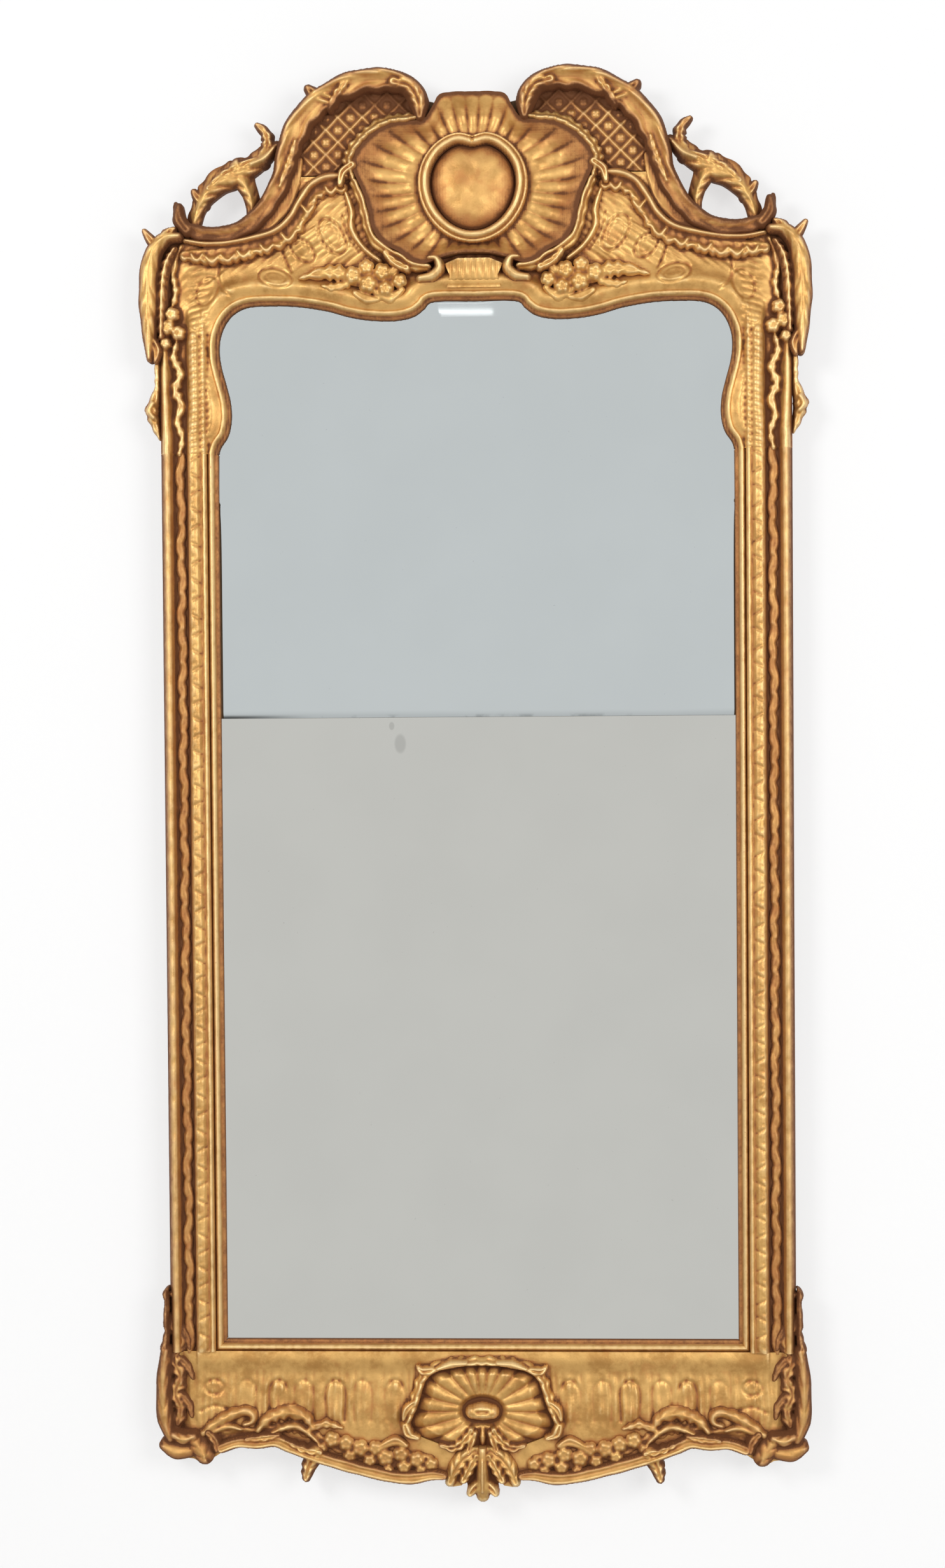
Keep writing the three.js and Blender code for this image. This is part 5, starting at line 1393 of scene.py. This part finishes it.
def old_pine():
    """Planed pine, dry and darkened, with its grain along the height."""
    f = new_finish("old_pine")
    grain = f.noise(0.02, 5.0, 0.6, f.stretched((9.0, 3.0, 0.35)))
    pores = f.noise(0.004, 2.0, 0.6, f.stretched((6.0, 2.0, 0.2)))
    cloud = f.noise(0.2)
    colour = f.mix(grain.ramp(0.35, 0.68), PALE_PINE, BROWN_PINE)
    colour = f.mix(cloud.ramp(0.45, 0.75) * 0.4, colour, STAINED_PINE)
    height = grain * 0.6 + pores * 0.4
    return f.surface(
        Base_Color=colour, Roughness=0.72 + pores * 0.2, Normal=f.bump(height, 0.0006))


def forged_iron():
    """Dark forged iron with thin rust."""
    f = new_finish("forged_iron")
    rust = f.noise(0.006, 4.0, 0.65).ramp(0.52, 0.66)
    dents = f.noise(0.003, 2.0)
    return f.surface(
        Base_Color=f.mix(rust, IRON_SKIN, RUST),
        Metallic=0.85 - rust * 0.75,
        Roughness=0.5 + rust * 0.35,
        Normal=f.bump(dents, 0.0005),
    )


# ---------------------------------------------------------------- pieces

GILT = water_gilding()
# tints of the plates: dull old silvering, with a painted reflection of a grey room, bluer in the upper
# plate and warmer in the lower
GLASS_UPPER = old_glass("old_glass_upper", (0.525, 0.56, 0.565), 1.0)
GLASS_LOWER = old_glass("old_glass_lower", (0.535, 0.535, 0.505), 0.0)
PINE = old_pine()
IRON = forged_iron()

# Each makes the piece of its own name.
CARVED = (
    sight_slip_top, sight_slip, sight_slip_bottom, side_moulding, stile_strand, frieze_top,
    shoulder_block, trellis_panel, crest_scroll, pierced_bracket, rocaille_border, crest_shell,
    shell_rim, shell_foot, cartouche_frame, cartouche_boss, flower_spray, shoulder_scroll,
    stile_volute, frieze_bottom, apron_shell, apron_shell_rim, apron_pendant, corner_scroll,
    apron_scroll, apron_ruffle,
)


def carve_all():
    """Makes every gilt piece and puts it in place of its node."""
    made = {make.__name__: make() for make in CARVED}
    depth = front_map(made.values())
    near, wide = blurred(depth, NEAR), blurred(depth, WIDE)
    for name, carving in made.items():
        dress(name, carving, near, wide)


BEVEL_WIDTH = 25.0
BEVEL_DROP = 1.3
PLATE_THICK = 4.0


def upper_plate():
    """Upper plate with its ground bevel along the shaped edge."""
    low, high = span("mirror_plate_upper", 2)
    half = span("mirror_plate_upper", 0)[1]
    carving = Carving(-half - 3, low - 3, half + 3, high + 3, 3, folded=True)
    out = from_sight(carving)
    edge = GLASS_LAP - out
    inside = np.minimum(np.minimum(edge, half - carving.across), carving.up - low)
    bevel = np.clip((edge - GLASS_LAP) / BEVEL_WIDTH, 0, 1)
    front = GLASS_DEPTH - BEVEL_DROP * (1 - bevel) * step_up(carving.up, SPRING - 60, SPRING)
    carving.ground(inside, front)
    points, quads, triangles, used, rim = carving.solid(GLASS_DEPTH - PLATE_THICK)
    on_rim = np.concatenate([rim[used], np.ones(rim.sum(), bool)])
    piece = make_piece("bevelled_plate_upper", points, quads, triangles, GLASS_UPPER, sharp=on_rim)
    place_piece(piece, "mirror_plate_upper")


def finish_kept_nodes():
    """Gives the solids that stay as they are their wood, iron and glass."""
    finishes = {"carcass": PINE, "backboard": PINE, "crest_panel": PINE, "hanger": IRON,
                "mirror_plate_lower": GLASS_LOWER}
    for name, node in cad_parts.items():
        for start, material in finishes.items():
            if name.startswith(start):
                for slot in node.material_slots:
                    slot.material = material


# ---------------------------------------------------------------- room

FLOOR_DROP = 0.32  # the mirror hangs, so the floor is below the pendant
WALL_GAP = 0.004
WALL_WIDTH, WALL_HEIGHT = 7.0, 6.0
FLOOR_DEPTH = 2.1  # too short to show in the glass
WALL_SHARE = 0.36  # how much of the wall's tone, as seen, comes from light on it
WHITE = (1, 1, 1, 1)
FLOOR_TONE = (0.86, 0.86, 0.85)
ROOM_LEVEL = 0.42  # the room's light on the mirror; as a background it is white
# Lamps: place, width and height in metres, watts, and where it is aimed.
LAMPS = {
    "key": ((-2.1, -3.5, 1.4), (1.2, 1.2), 60, (0, 0, 0.1)),
    "fill": ((2.2, -3.6, 0.6), (1.8, 1.8), 61, (0, 0, 0)),
    "window": ((-0.216, -4.0, 1.525), (0.17, 0.008), 0.011, (0, 0, 0.56)),  # seen in the top bevel
}


def flat_card(name, near, far, material):
    """Flat rectangle for the room, between two lines across it given as (y, z)."""
    half = WALL_WIDTH / 2
    points = np.array([(-half, *near), (half, *near), (half, *far), (-half, *far)])
    card = make_piece(name, points, np.array([[0, 1, 2, 3]]), np.zeros((0, 3), int), material)


def wall_finish():
    """White wall that keeps a soft shadow. To other light and from behind it isn't there."""
    f = new_finish("white_wall")
    f.tree.nodes.remove(f.shader)
    glow = f.node("ShaderNodeEmission", {}, {"Color": WHITE, "Strength": 1.0})
    white = f.node("ShaderNodeBsdfDiffuse", {}, {"Color": WHITE})
    clear = f.node("ShaderNodeBsdfTransparent", {}, {})
    behind = f.node("ShaderNodeNewGeometry", {}, {}, "Backfacing")
    seen = f.either(f.ray("Camera"), clear, f.either(WALL_SHARE, glow, white))
    f.feed(f.tree.nodes["Material Output"].inputs["Surface"], f.either(behind, seen, clear))
    return f.owner


def make_room():
    low, high = cad_box
    wall, floor = high.y + WALL_GAP, low.z - FLOOR_DROP
    flat_card("wall", (wall, floor), (wall, floor + WALL_HEIGHT), wall_finish())
    pale = new_finish("pale_floor").surface(Base_Color=FLOOR_TONE, Roughness=0.9)
    flat_card("floor", (wall - FLOOR_DEPTH, floor), (wall + FLOOR_DEPTH, floor), pale)


def lamp(name, place, size, watts, target):
    """Soft rectangular lamp, aimed at a place."""
    light = bpy.data.lights.new(name, "AREA")
    light.shape = "RECTANGLE"
    light.size, light.size_y = size
    light.energy = watts
    holder = bpy.data.objects.new(name, light)
    holder.location = place
    way = Vector(target) - Vector(place)
    holder.rotation_euler = way.to_track_quat("-Z", "Y").to_euler()
    bpy.context.scene.collection.objects.link(holder)


def make_light():
    """Plain soft studio light, a little from the left and above."""
    for name, settings in LAMPS.items():
        lamp(name, *settings)
    f = Finish(bpy.data.worlds.new("room"), "Background")
    shown = f.ray("Camera") + f.ray("Glossy") + f.ray("Transmission")
    level = f.node("ShaderNodeMapRange", {}, {"Value": shown, "To Min": ROOM_LEVEL, "To Max": 1.0})
    bpy.context.scene.world = f.surface(Color=WHITE[:3], Strength=level)


carve_all()
upper_plate()
finish_kept_nodes()
make_room()
make_light()
bpy.context.scene.view_settings.view_transform = "Standard"
